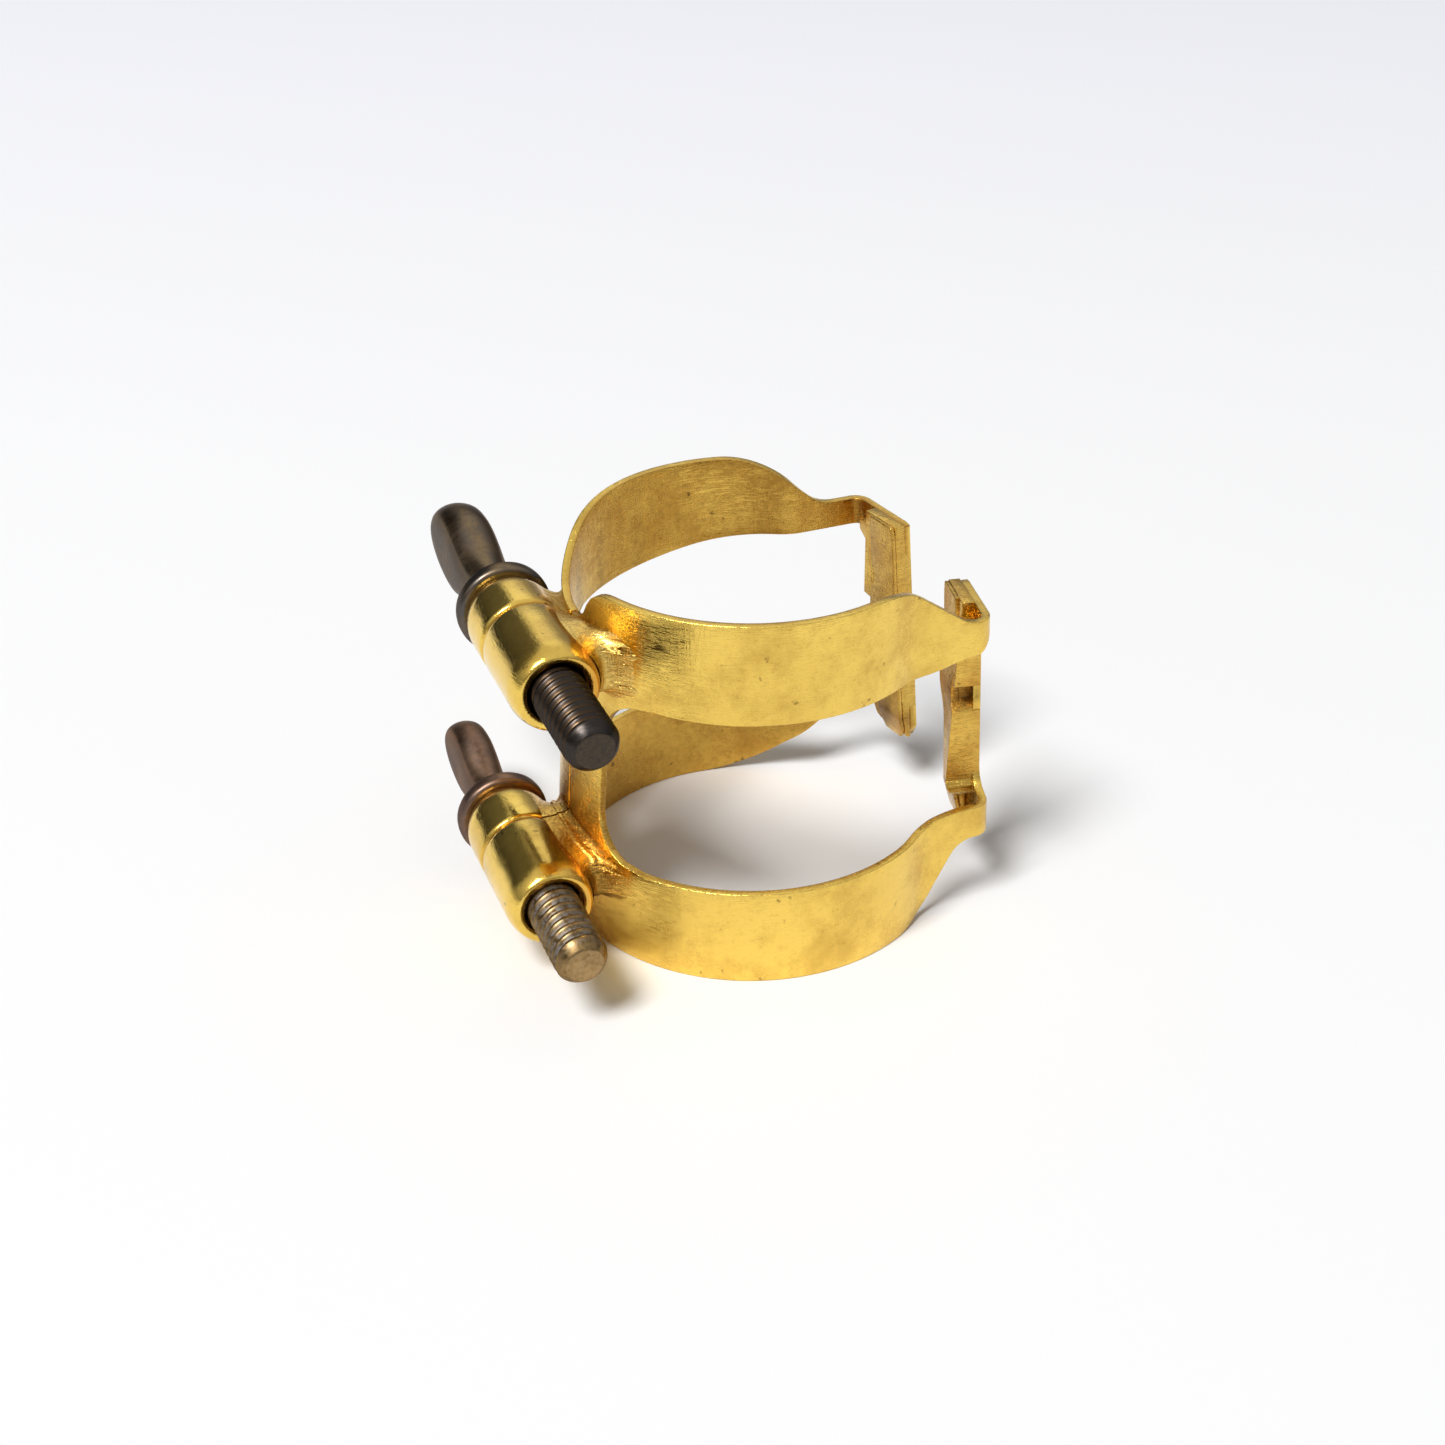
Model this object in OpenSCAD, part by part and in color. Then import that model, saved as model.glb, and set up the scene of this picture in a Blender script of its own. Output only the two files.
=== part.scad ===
// Saxophone ligature with a split body.
// Two mirrored sheet brass halves hug the mouthpiece. They are held together only by two
// thumb screws at the back (-X) and press the reed with two rails at the front (+X).
// The origin is on the mouthpiece axis, in the plane of the large lower rim. +Z is up.
// The near half lies at -Y and carries the threaded barrels, the far half at +Y the plain ones.

/* [Bands] */
// Outer radius of the lower band, where the mouthpiece is thicker
lower_r = 13.2; // [12.4:0.1:15]
// Outer radius of the upper band
upper_r = 12.3; // [11.5:0.1:14]
// Thickness of the brass sheet
sheet_t = 0.55; // [0.4:0.05:0.7]
// Height of each band where it is widest
band_h = 7; // [6:0.25:8.5]
// Height of the whole body
body_h = 26.2; // [24:0.2:30]
// Half width of the bridge between the bands, on each half
bridge_w = 4.1; // [3:0.1:5]
// Radius of the corners between bridge and bands
bridge_fillet = 3.4; // [2:0.1:4]
// How far a band narrows at the screws
waist_drop = 3.1; // [1:0.1:3.5]
// Length over which a band narrows at the screws
waist_len = 4.8; // [3.6:0.1:6]
// Length over which the top edge of the far upper band falls towards the screws
far_waist_len = 11; // [5:0.5:12]
// Gap between the two halves at the bridge
split_gap = 0.2; // [0.1:0.05:0.6]

/* [Reed side] */
// Distance from the split plane to the outer face of the straight arm ends
cheek_y = 10.05; // [9.2:0.05:10.6]
// Radius of the hollow where an arm leaves its band
flare_r = 3; // [2:0.25:5]
// Outer radius of the bend between arm and rail strip
bend_r = 1.25; // [0.9:0.05:1.6]
// Distance from the mouthpiece axis to the bend, at the top of the rails
bend_x = 11.7; // [11:0.1:13]
// Slant of a rail in plan, which follows the rounded back of the reed
rail_slant = 10.5; // [4:0.5:16]
// Lean of the near rail, which follows the taper of the mouthpiece
near_lean = 2.9; // [0:0.1:5]
// Lean of the far rail, which is bent out a little more
far_lean = 4.5; // [0:0.1:5]
// Half of the free width between the rails
reed_gap = 4.27; // [3.5:0.05:5]
// Height of the upper edge of the lower neck
lower_neck_z = 8; // [7.2:0.1:9]
// How far the top of the rails lies below the upper rim
rail_drop = 3.8; // [3:0.1:5]
// Height of the lower end of the rail strip
rail_foot = 4.5; // [3.5:0.1:5.2]
// Radius of the two lower corners of the rail strip
foot_r = 1.1; // [0.8:0.1:2]
// How far the lower edge of the near upper band rises towards its neck
near_rise = 0.8; // [0.2:0.1:1.6]
// How far the lower edge of the far upper band rises towards its neck
far_rise = 1.2; // [0.2:0.1:1.6]
// Slope of the near top edge where it falls to the rail
near_top_slope = 37; // [30:1:50]
// Slope of the far top edge where it falls to the rail
far_top_slope = 43; // [30:1:50]
// Slope of the near bottom edge where it rises to the rail
near_foot_slope = 60; // [35:1:65]
// Slope of the far bottom edge where it rises to the rail
far_foot_slope = 40; // [35:1:65]

/* [Reed rails] */
// Width of a rail block
block_w = 3.3; // [2.5:0.1:4]
// Thickness of a rail block at its top and along the gap
block_t = 0.8; // [0.6:0.05:1.2]
// Thickness of a rail block at its foot, at the cheek side
block_cheek_t = 1.9; // [1.4:0.05:2.2]
// Height of the foot of a rail block
block_foot = 7.4; // [6.5:0.1:9]
// Depth of the cross groove in a rail block
groove_d = 0.7; // [0.3:0.05:0.9]
// Height of the cross groove in a rail block
groove_h = 1.3; // [0.8:0.1:2]
// How far the ear of a rail block reaches towards the bend
ear_w = 1.1; // [0.5:0.1:1.3]
// Height of the ear
ear_h = 1.9; // [1:0.1:3]
// How far the top of the cross groove lies below the top of the rail
groove_drop = 6.5; // [4:0.1:9]
// Thickness of the contact plate that touches the reed
plate_t = 0.3; // [0.2:0.05:0.5]
// Width of the contact plate
plate_w = 2.2; // [1.2:0.1:2.6]
// How far the contact plate swells out at the cross groove
plate_swell = 0.3; // [0.1:0.05:0.5]
// Height at which the contact plate bends back towards the strip
plate_bend_h = 6.6; // [6:0.1:7.2]
// Distance of the foot of the contact plate from the strip
plate_end_gap = 0.4; // [0.2:0.05:0.8]

/* [Barrels] */
// Outer radius of the barrels
barrel_r = 2.96; // [2.7:0.02:3.05]
// Length of a threaded barrel
near_len = 6.9; // [5:0.1:8]
// Length of a plain barrel
far_len = 4.45; // [3.5:0.1:6]
// Gap between the two barrels of a pair
seam_gap = 0.08; // [0.05:0.01:0.3]
// Distance of the upper screw axis below the upper rim
upper_inset = 4.73; // [3.5:0.1:6]
// Height of the lower screw axis
lower_z = 5.39; // [4:0.1:7]
// Free distance between an upper barrel and its band, filled with solder
upper_stand = 0.08; // [0.06:0.02:0.4]
// Free distance between a lower barrel and its band, filled with solder
lower_stand = 0.3; // [0.06:0.02:0.6]
// Length over which a barrel falls off towards its mouth
crown_len = 1.6; // [0.8:0.1:2]
// How far the mouth of a barrel is below its full radius
crown_drop = 0.38; // [0.2:0.02:0.45]
// Half height of a solder saddle on the band
saddle_h = 2.5; // [2:0.1:2.9]

/* [Thumb screws] */
// Outer radius of the thread
thread_r = 1.78; // [1.6:0.02:2]
// Radial clearance of the thread in its barrel
thread_clearance = 0.05; // [0.02:0.01:0.08]
// Radial clearance of the shank in the plain barrel
shank_clearance = 0.09; // [0.05:0.01:0.1]
// How far the upper screw stands out of its threaded barrel
upper_tip = 6.95; // [6:0.05:9]
// How far the lower screw stands out of its threaded barrel
lower_tip = 6.25; // [6:0.05:9]
// Radius of the flat end of a screw
tip_r = 1.2; // [0.8:0.05:1.5]
// Length of the cone behind the end of a screw
tip_cone = 0.55; // [0.3:0.05:1]
// Radius of the collar
collar_r = 3.16; // [3.06:0.02:3.6]
// Thickness of the collar
collar_t = 1.5; // [1:0.1:2.5]
// Radius of the neck between collar and head
head_neck_r = 1.6; // [1.4:0.05:1.7]
// Largest radius of the head of the upper screw
upper_head_r = 2.95; // [2.5:0.05:3.1]
// Largest radius of the head of the lower screw
lower_head_r = 2.45; // [2.2:0.05:2.8]
// Length of the head of the upper screw behind its collar
upper_head_len = 12.8; // [9:0.1:14]
// Length of the head of the lower screw behind its collar
lower_head_len = 10.4; // [8:0.1:12]
// Distance between the two milled flats of the upper head
upper_flat = 3.4; // [2.8:0.1:4]
// Distance between the two milled flats of the lower head
lower_flat = 2.7; // [2.4:0.1:3.4]

/* [Hidden] */
$fn = 96;
over = 40;                                  // larger than the whole object, for cutters
arc_steps = 10;                              // straight pieces in each arc of an outline
lower_in = lower_r - sheet_t;               // inner radius of each band
upper_in = upper_r - sheet_t;
upper_z0 = body_h - band_h;                 // lower edge of the upper band
rail_top = body_h - rail_drop;
upper_z = body_h - upper_inset;             // upper screw axis
bend_foot = rail_foot + foot_r;             // lower edge of the lower neck at the bend
bridge_reach = bridge_w + bridge_fillet + 0.6;
bend_y = cheek_y - bend_r;                  // axis of the bend
strip_x = bend_x + bend_r * cos(rail_slant);   // where the strip leaves the bend
strip_y = bend_y + bend_r * sin(rail_slant);
strip_len = (strip_y - reed_gap) / cos(rail_slant);
crown_steps = 4;                            // straight pieces in each rounded barrel edge
seam_len = 0.4;                             // rounding of the barrels at their seam
seam_drop = 0.12;
sunk = 0.01;                                // overlap by which stretches of wall join
window_bite = 0.05;                         // how far the opening reaches into the bands
// edges that run to the necks: where each starts, and the radii where it starts and ends
near_top = [3.6, 7, 2];
far_top = [2.4, 7, 2.5];
near_foot = [5.8, 4, 2.2];
far_foot = [1.1, 9, 2.2];
// where the lower edge of an upper band starts to rise, and over what length
near_sill = [7, 5.5];
far_sill = [-8, 16];
ledge_x = 12;                               // where the lower band reaches its neck's height
ledge_len = 6;
far_waist_end = 1.5;                        // the far top edge runs level this near to the split
lower_barrel_x = -(lower_r + lower_stand + barrel_r);
upper_barrel_x = -(upper_r + upper_stand + barrel_r);
near_bore_r = thread_r + thread_clearance;
far_bore_r = thread_r + shank_clearance;
head_y = far_len + collar_t;                // where the head starts behind the split plane
strip_inset = strip_len - block_w;          // the strip is cut back to its block between the necks
lip_h = 1.1;                                // height of the bevelled lip under a rail block
plate_short = 0.3;                          // the plate ends this much above the strip's foot
let_in = 0.05;                              // how deep the plate is let into its block
foot_share = 0.6;                           // thickness left at the foot of a rail block
ear_drop = 0.9;                             // the ear starts this much below the top of the rail
swell_above = 2.6;                          // reach of the plate's swelling about its middle
swell_below = 3.4;
saddle_rho = 1.4;                           // hollow of the solder flanks
head_widest = 0.58;                         // share of a head's length at which it is widest
collar_front = 0.35;                        // edge radii of the collar
collar_back = 0.75;

gold = "#d9b23c";
solder_gold = "#c98a2c";
dark_bronze = "#3b2c20";
red_bronze = "#5a3a26";

// ---------- helpers ----------

// Part of a revolved profile from angle a0 to a1, about Z
module sector(a0, a1) {
  rotate([0, 0, a0]) rotate_extrude(angle = a1 - a0) children();
}

// Points of a falling S made of two equal arcs, which starts level at the origin and ends
// level after len, deeper by drop
function s_points(len, drop) =
  let (r = (len * len + drop * drop) / (4 * drop), half = asin(len / 2 / r))
  concat(
    [for (i = [0 : arc_steps]) let (a = half * i / arc_steps) [r * sin(a), r * cos(a) - r]],
    [for (i = [arc_steps - 1 : -1 : 0]) let (a = half * i / arc_steps)
      [len - r * sin(a), r - drop - r * cos(a)]]
  );

// Flat region above such an S, which goes on to the right, and upwards for tall
module above_step(len, drop, tall = over) {
  polygon(concat(s_points(len, drop), [[over, -drop], [over, tall], [0, tall]]));
}

// Flat region above an edge that starts level at the origin, bends down with radius r0 to the
// slope, runs straight and bends level again with radius r1, deeper by drop
module above_ogee(drop, r0, r1, slope) {
  straight = drop - (r0 + r1) * (1 - cos(slope));
  end = (r0 + r1) * sin(slope) + straight / tan(slope);
  polygon(concat(
    [for (i = [0 : arc_steps]) let (a = slope * i / arc_steps) [r0 * sin(a), r0 * cos(a) - r0]],
    [for (i = [arc_steps : -1 : 0]) let (a = slope * i / arc_steps)
      [end - r1 * sin(a), r1 - drop - r1 * cos(a)]],
    [[over, -drop], [over, over], [0, over]]
  ));
}

// Flat opening to the right of the Y axis, whose two left corners have radius r
module notch(deep, tall, r) {
  corner = [for (i = [0 : arc_steps]) let (a = 90 * i / arc_steps) [r - r * sin(a), r - r * cos(a)]];
  upper = [for (i = [arc_steps : -1 : 0]) [corner[i][0], tall - corner[i][1]]];
  polygon(concat([[deep, 0]], corner, upper, [[deep, tall]]));
}

// A flat outline drawn in X and Z, swept along Y over the positive side
module along_y() {
  translate([0, over, 0]) rotate([90, 0, 0]) linear_extrude(over) children();
}

// A flat outline drawn in Y and Z, swept along X over the screw side
module along_x() {
  translate([-over, 0, 0]) rotate([90, 0, 90]) linear_extrude(over) children();
}

// Turned parts are drawn along Z and laid along Y
module along_axis() { rotate([-90, 0, 0]) children(); }

// ---------- body ----------

// Points along an arc, each as [x, y, direction of the wall's outer face]
function arc_path(centre, r, from, to, turned = 0) =
  [for (i = [0 : arc_steps]) let (a = from + (to - from) * i / arc_steps)
    [centre[0] + r * cos(a), centre[1] + r * sin(a), a + turned]];

// Upright wall of thickness t along such points
module path_wall(path, t, z0, z1) {
  side = function (s) [for (p = path) [p[0] + s * t / 2 * cos(p[2]), p[1] + s * t / 2 * sin(p[2])]];
  inner = side(-1);
  translate([0, 0, z0]) linear_extrude(z1 - z0)
    polygon(concat(side(1), [for (i = [len(path) - 1 : -1 : 0]) inner[i]]));
}

// Wall of one band on the positive side, from z0 to z1: the round part, the hollow flare
// and the straight cheek up to x_end
module band_wall(r, z0, z1, x_end) {
  flare_x = sqrt(pow(r + flare_r, 2) - pow(cheek_y + flare_r, 2));
  leave = atan2(cheek_y + flare_r, flare_x);
  sector(leave, 180) translate([r - sheet_t, z0]) square([sheet_t, z1 - z0]);
  path_wall(concat(
    [for (a = [leave + 3 : -1 : leave + 1]) [(r - sheet_t / 2) * cos(a), (r - sheet_t / 2) * sin(a), a]],
    arc_path([flare_x, cheek_y + flare_r], flare_r + sheet_t / 2, leave + 180, 270, 180),
    [[x_end, cheek_y - sheet_t / 2, 90]]
  ), sheet_t - 2 * sunk, z0, z1);
}

// Tapered wall of the bridge between the two bands, sunk a little into both
module bridge_wall() {
  spread = asin(bridge_reach / lower_r);
  sector(180 - spread, 180) polygon([
    [lower_in + sunk, band_h - 1], [lower_r - sunk, band_h - 1],
    [lower_r - sunk, band_h], [upper_r - sunk, upper_z0],
    [upper_r - sunk, upper_z0 + 1], [upper_in + sunk, upper_z0 + 1],
    [upper_in + sunk, upper_z0], [lower_in + sunk, band_h]
  ]);
}

// The opening between the bands, seen from the screw side, with its rounded corners
module window_outline() {
  translate([bridge_w, band_h - window_bite])
    notch(bridge_reach, upper_z0 - band_h + 2 * window_bite, bridge_fillet);
}

// Strip behind the rail with both necks; neck_z is the lower edge of the upper neck
module rail_strip(neck_z) {
  bend = concat(
    [[bend_x - bend_r, cheek_y - sheet_t / 2, 90]],
    arc_path([bend_x, bend_y], bend_r - sheet_t / 2, 90, rail_slant),
    [[strip_x - sheet_t / 2 * cos(rail_slant) + sin(rail_slant),
      strip_y - sheet_t / 2 * sin(rail_slant) - cos(rail_slant), rail_slant]]
  );
  path_wall(bend, sheet_t - sunk, neck_z + sunk, rail_top - sunk);
  path_wall(bend, sheet_t - sunk, bend_foot + sunk, lower_neck_z - sunk);
  // the strip is narrower between the necks than at them
  in_strip_frame() translate([-sheet_t, 0, 0]) rotate([90, 0, 90]) linear_extrude(sheet_t)
    difference() {
      strip_outline();
      translate([strip_inset, lower_neck_z]) mirror([1, 0])
        notch(over, neck_z - lower_neck_z, strip_inset);
    }
}

// The strip laid flat, with its round foot
module strip_outline() {
  corner = function (side) [for (i = [0 : arc_steps]) let (a = 90 * i / arc_steps)
    [strip_len / 2 + side * (strip_len / 2 - foot_r + foot_r * sin(a)), bend_foot - foot_r * cos(a)]];
  left = corner(-1);
  polygon(concat(corner(1), [[strip_len, rail_top], [0, rail_top]],
    [for (i = [arc_steps : -1 : 0]) left[i]]));
}

// Frame of the rail strip: Y runs from the bend to the free end, X points outwards
module in_strip_frame() {
  translate([strip_x, strip_y, 0])
    rotate([0, 0, rail_slant]) mirror([0, 1, 0]) children();
}

// Frame of a rail, which leans outwards below its top
module leaning(lean) {
  translate([strip_x, 0, rail_top]) rotate([0, -lean, 0])
    translate([-strip_x, 0, -rail_top]) children();
}

// Material taken off both bands where they narrow at the screws; top_len is the length of
// the fall of the top edge
module waist_cut(top_len) {
  along_x() translate([max(waist_len, top_len + far_waist_end), body_h]) mirror([1, 0])
    above_step(top_len, waist_drop);
  along_x() translate([waist_len, 0]) mirror([1, 0]) mirror([0, 1])
    above_step(waist_len, waist_drop);
}

// The far half, or the near one turned over: lean of its rail, its edges and their slopes,
// rise of its upper band's lower edge, and length of the fall of its top edge at the screws
module body_half(lean, top, top_slope, foot, foot_slope, sill, rise, top_len) {
  upper_end = bend_x - bend_r / 2;
  lower_end = upper_end + (rail_top - lower_neck_z) * tan(lean);
  difference() {
    union() {
      difference() {
        union() {
          band_wall(upper_r, upper_z0, body_h, upper_end);
          band_wall(lower_r, 0, lower_neck_z, lower_end);
        }
        // each band narrows towards its neck
        along_y() translate([top[0], body_h]) above_ogee(rail_drop, top[1], top[2], top_slope);
        along_y() translate([foot[0], 0]) mirror([0, 1])
          above_ogee(bend_foot, foot[1], foot[2], foot_slope);
        along_y() translate([sill[0], upper_z0 - window_bite]) mirror([0, 1])
          above_step(sill[1], rise + window_bite, band_h / 2);
        along_y() translate([ledge_x, lower_neck_z]) mirror([1, 0])
          above_step(ledge_len, lower_neck_z - band_h, band_h / 2);
        waist_cut(top_len);
      }
      difference() {
        bridge_wall();
        along_x() window_outline();
      }
      leaning(lean) rail_strip(upper_z0 + rise);
    }
    // the saw cut between the halves
    translate([-over, -over, -1]) cube([over, over + split_gap / 2, over]);
  }
}

module near_body_half() {
  color(gold) mirror([0, 1, 0]) body_half(near_lean, near_top, near_top_slope,
    near_foot, near_foot_slope, near_sill, near_rise, waist_len);
}
module far_body_half() {
  color(gold) body_half(far_lean, far_top, far_top_slope,
    far_foot, far_foot_slope, far_sill, far_rise, far_waist_len);
}

// ---------- barrels and solder ----------

// Edge of a barrel that falls off over len by drop, as [radius, distance from the end]
function crown(len, drop) =
  let (r = (len * len + drop * drop) / (2 * drop), end = asin(len / r))
  [for (i = [0 : crown_steps]) let (a = end * (1 - i / crown_steps))
    [barrel_r - r + r * cos(a), len - r * sin(a)]];

// A tube along Y, from the seam to its mouth at long, with a crowned mouth
module barrel(long, bore) {
  mouth = crown(crown_len, crown_drop);
  seam = crown(seam_len, seam_drop);
  along_axis() rotate_extrude() translate([0, seam_gap / 2]) polygon(concat(
    [[bore, 0]], seam,
    [for (i = [crown_steps : -1 : 0]) [mouth[i][0], long - seam_gap / 2 - mouth[i][1]]],
    [[bore, long - seam_gap / 2]]
  ));
}

module threaded_barrel(x, z) {
  color(gold) translate([x, 0, z]) mirror([0, 1, 0]) barrel(near_len, near_bore_r);
}

module plain_barrel(x, z) {
  color(gold) translate([x, 0, z]) barrel(far_len, far_bore_r);
}

module upper_threaded_barrel() { threaded_barrel(upper_barrel_x, upper_z); }
module lower_threaded_barrel() { threaded_barrel(lower_barrel_x, lower_z); }
module upper_plain_barrel() { plain_barrel(upper_barrel_x, upper_z); }
module lower_plain_barrel() { plain_barrel(lower_barrel_x, lower_z); }

// Solder in the valley between a barrel and its band, with hollow flanks, on the positive side
module solder(x, z, r, long, top_len) {
  rho_x = -x - r - saddle_rho;
  rho_z = sqrt(pow(barrel_r + saddle_rho, 2) - pow(rho_x, 2));
  difference() {
    translate([x, split_gap / 2, z - saddle_h]) cube([-x, long - split_gap / 2, 2 * saddle_h]);
    translate([x, 0, z]) along_axis() cylinder(r = barrel_r, h = long + 1);
    translate([0, 0, -1]) cylinder(r = r, h = over);
    for (up = [-1, 1])
      translate([x + rho_x, 0, z + up * rho_z]) along_axis() cylinder(r = saddle_rho, h = long + 1);
    waist_cut(top_len);
  }
}

module near_solder(x, z, r) {
  color(solder_gold) mirror([0, 1, 0]) solder(x, z, r, near_len - crown_len, waist_len);
}
module far_solder(x, z, r) {
  color(solder_gold) solder(x, z, r, far_len - crown_len / 2, far_waist_len);
}

module upper_near_solder() { near_solder(upper_barrel_x, upper_z, upper_r); }
module lower_near_solder() { near_solder(lower_barrel_x, lower_z, lower_r); }
module upper_far_solder() { far_solder(upper_barrel_x, upper_z, upper_r); }
module lower_far_solder() { far_solder(lower_barrel_x, lower_z, lower_r); }

// ---------- reed rails ----------

// Outline of a block in plan, in the rail frame: gap and cheek are its depths at both ends
module block_section(gap, cheek) {
  translate([-sheet_t, strip_len - block_w])
    polygon([[0, 0], [-cheek, 0], [-gap, block_w], [0, block_w]]);
}

// Solid bar behind the contact plate, deeper towards its foot, with a bevelled lip there and
// a cross groove in its cheek side
module rail_block(lean) {
  leaning(lean) in_strip_frame() difference() {
    union() {
      rail_bar();
      translate([-sheet_t - block_t, 0, 0]) rotate([90, 0, 90]) linear_extrude(block_t)
        polygon([
          [strip_inset - ear_w, rail_top - ear_drop], [strip_inset + 1, rail_top - ear_drop],
          [strip_inset + 1, rail_top - ear_drop - ear_h], [strip_inset, rail_top - ear_drop - ear_h],
          [strip_inset - ear_w, rail_top - ear_drop - ear_h / 2]
        ]);
    }
    translate([-over / 2, strip_len - block_w - 1, rail_top - groove_drop - groove_h])
      cube([over, groove_d + 1, groove_h]);
    // seat of the contact plate
    translate([-sheet_t - block_t + let_in - over, strip_len - plate_w, 0])
      cube([over, over, over]);
  }
}

// The tapered bar of a rail block
module rail_bar() {
  hull() {
    translate([0, 0, rail_top - sunk]) linear_extrude(sunk) block_section(block_t, block_t);
    translate([0, 0, block_foot + lip_h]) linear_extrude(sunk)
      block_section(block_t, block_cheek_t);
    translate([0, 0, block_foot]) linear_extrude(sunk)
      block_section(block_t * foot_share, block_cheek_t * foot_share);
  }
}

// Bent plate that touches the reed, along the gap end of its block and down past its foot
module contact_plate(lean) {
  back = block_t - let_in;
  middle = rail_top - groove_drop - groove_h / 2;
  leaning(lean) in_strip_frame() translate([-sheet_t, strip_len, 0])
    rotate([90, 0, 0]) linear_extrude(plate_w)
      polygon([
        [-back, rail_top],
        [-back, plate_bend_h],
        [-plate_end_gap, rail_foot + plate_short],
        [-plate_end_gap - plate_t, rail_foot + plate_short],
        [-back - plate_t, plate_bend_h],
        [-back - plate_t, middle - swell_below],
        [-back - plate_t - plate_swell, middle],
        [-back - plate_t, middle + swell_above],
        [-back - plate_t, rail_top]
      ]);
}

module near_rail_block() { color(gold) mirror([0, 1, 0]) rail_block(near_lean); }
module far_rail_block() { color(gold) rail_block(far_lean); }
module near_contact_plate() { color(gold) mirror([0, 1, 0]) contact_plate(near_lean); }
module far_contact_plate() { color(gold) contact_plate(far_lean); }

// ---------- thumb screws ----------

// Outline of a head of largest radius r and length len, as [radius, distance from the collar]:
// a slender flank that swells from the neck, then a long dome
function head_points(r, len) = let (widest = head_widest * len) concat(
  [for (i = [0 : arc_steps]) let (k = i / arc_steps)
    [head_neck_r + (r - head_neck_r) * pow(sin(90 * k), 4), k * widest]],
  [for (i = [1 : arc_steps]) let (a = 90 * i / arc_steps)
    [r * cos(a), widest + (len - widest) * sin(a)]]
);

// Half section of the turned screw, radius against Y
module screw_profile(tip_y, head_r, head_len) {
  polygon(concat(
    [[0, tip_y], [tip_r, tip_y], [thread_r, tip_y + tip_cone], [thread_r, head_y]],
    [for (p = head_points(head_r, head_len)) [p[0], head_y + p[1]]]
  ));
  // collar with rounded edges
  difference() {
    translate([0, far_len]) square([collar_r, collar_t]);
    translate([collar_r, far_len]) edge_cut(collar_front);
    translate([collar_r, head_y]) mirror([0, 1]) edge_cut(collar_back);
  }
}

// What rounding an outer edge of radius r takes off a section
module edge_cut(r) {
  difference() {
    translate([-r, -1]) square([r + 1, r + 1]);
    translate([-r, r]) circle(r);
  }
}

// One screw with two milled flats on its head
module thumb_screw(tip_out, head_r, head_len, flat) {
  difference() {
    along_axis() rotate_extrude() screw_profile(-near_len - tip_out, head_r, head_len);
    for (side = [0, 1]) mirror([side, 0, 0])
      translate([flat / 2, head_y, -over / 2]) cube(over);
  }
}

module upper_thumb_screw() {
  color(dark_bronze) translate([upper_barrel_x, 0, upper_z])
    thumb_screw(upper_tip, upper_head_r, upper_head_len, upper_flat);
}
module lower_thumb_screw() {
  color(red_bronze) translate([lower_barrel_x, 0, lower_z])
    thumb_screw(lower_tip, lower_head_r, lower_head_len, lower_flat);
}

// ---------- assembly ----------

near_body_half();
far_body_half();
upper_threaded_barrel();
lower_threaded_barrel();
upper_plain_barrel();
lower_plain_barrel();
near_rail_block();
far_rail_block();
near_contact_plate();
far_contact_plate();
upper_near_solder();
lower_near_solder();
upper_far_solder();
lower_far_solder();
upper_thumb_screw();
lower_thumb_screw();
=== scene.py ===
"""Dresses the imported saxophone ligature: sheet brass halves, barrels, solder, rails and thumb screws."""
import math

import bpy
from mathutils import Matrix, Vector


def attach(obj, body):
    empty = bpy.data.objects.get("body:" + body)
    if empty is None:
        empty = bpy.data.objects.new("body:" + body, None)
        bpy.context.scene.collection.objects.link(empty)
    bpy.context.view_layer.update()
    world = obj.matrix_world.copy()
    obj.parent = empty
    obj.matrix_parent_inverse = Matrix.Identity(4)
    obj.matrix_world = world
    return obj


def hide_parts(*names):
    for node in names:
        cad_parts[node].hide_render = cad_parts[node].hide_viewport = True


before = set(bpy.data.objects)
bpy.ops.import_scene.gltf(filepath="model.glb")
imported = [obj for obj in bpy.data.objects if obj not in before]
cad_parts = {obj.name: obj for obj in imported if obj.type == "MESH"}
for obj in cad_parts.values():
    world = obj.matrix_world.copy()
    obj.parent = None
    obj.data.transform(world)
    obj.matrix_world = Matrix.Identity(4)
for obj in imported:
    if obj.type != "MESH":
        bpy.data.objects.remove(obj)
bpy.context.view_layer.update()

bl_info = {
    "name": "Saxophone Ligature",
    "version": (1, 0, 0),
    "blender": (4, 5, 0),
    "location": "3D View > Sidebar > Ligature",
    "description": "Builds a split brass saxophone ligature with rails and thumb screws",
    "category": "Add Mesh",
}

MM = 0.001


# ---------------------------------------------------------------- settings

def length_of(words, default):
    """A length setting, given in millimetres."""
    return bpy.props.FloatProperty(
        name=words, description=words, default=default * MM, unit="LENGTH", precision=5
    )


def angle_of(words, degrees):
    """An angle setting, given in degrees."""
    return bpy.props.FloatProperty(
        name=words, description=words, default=math.radians(degrees), subtype="ANGLE"
    )


def colour_of(words, default):
    """A colour setting."""
    return bpy.props.FloatVectorProperty(
        name=words, description=words, default=default, subtype="COLOR", size=3, min=0, max=1
    )


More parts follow.
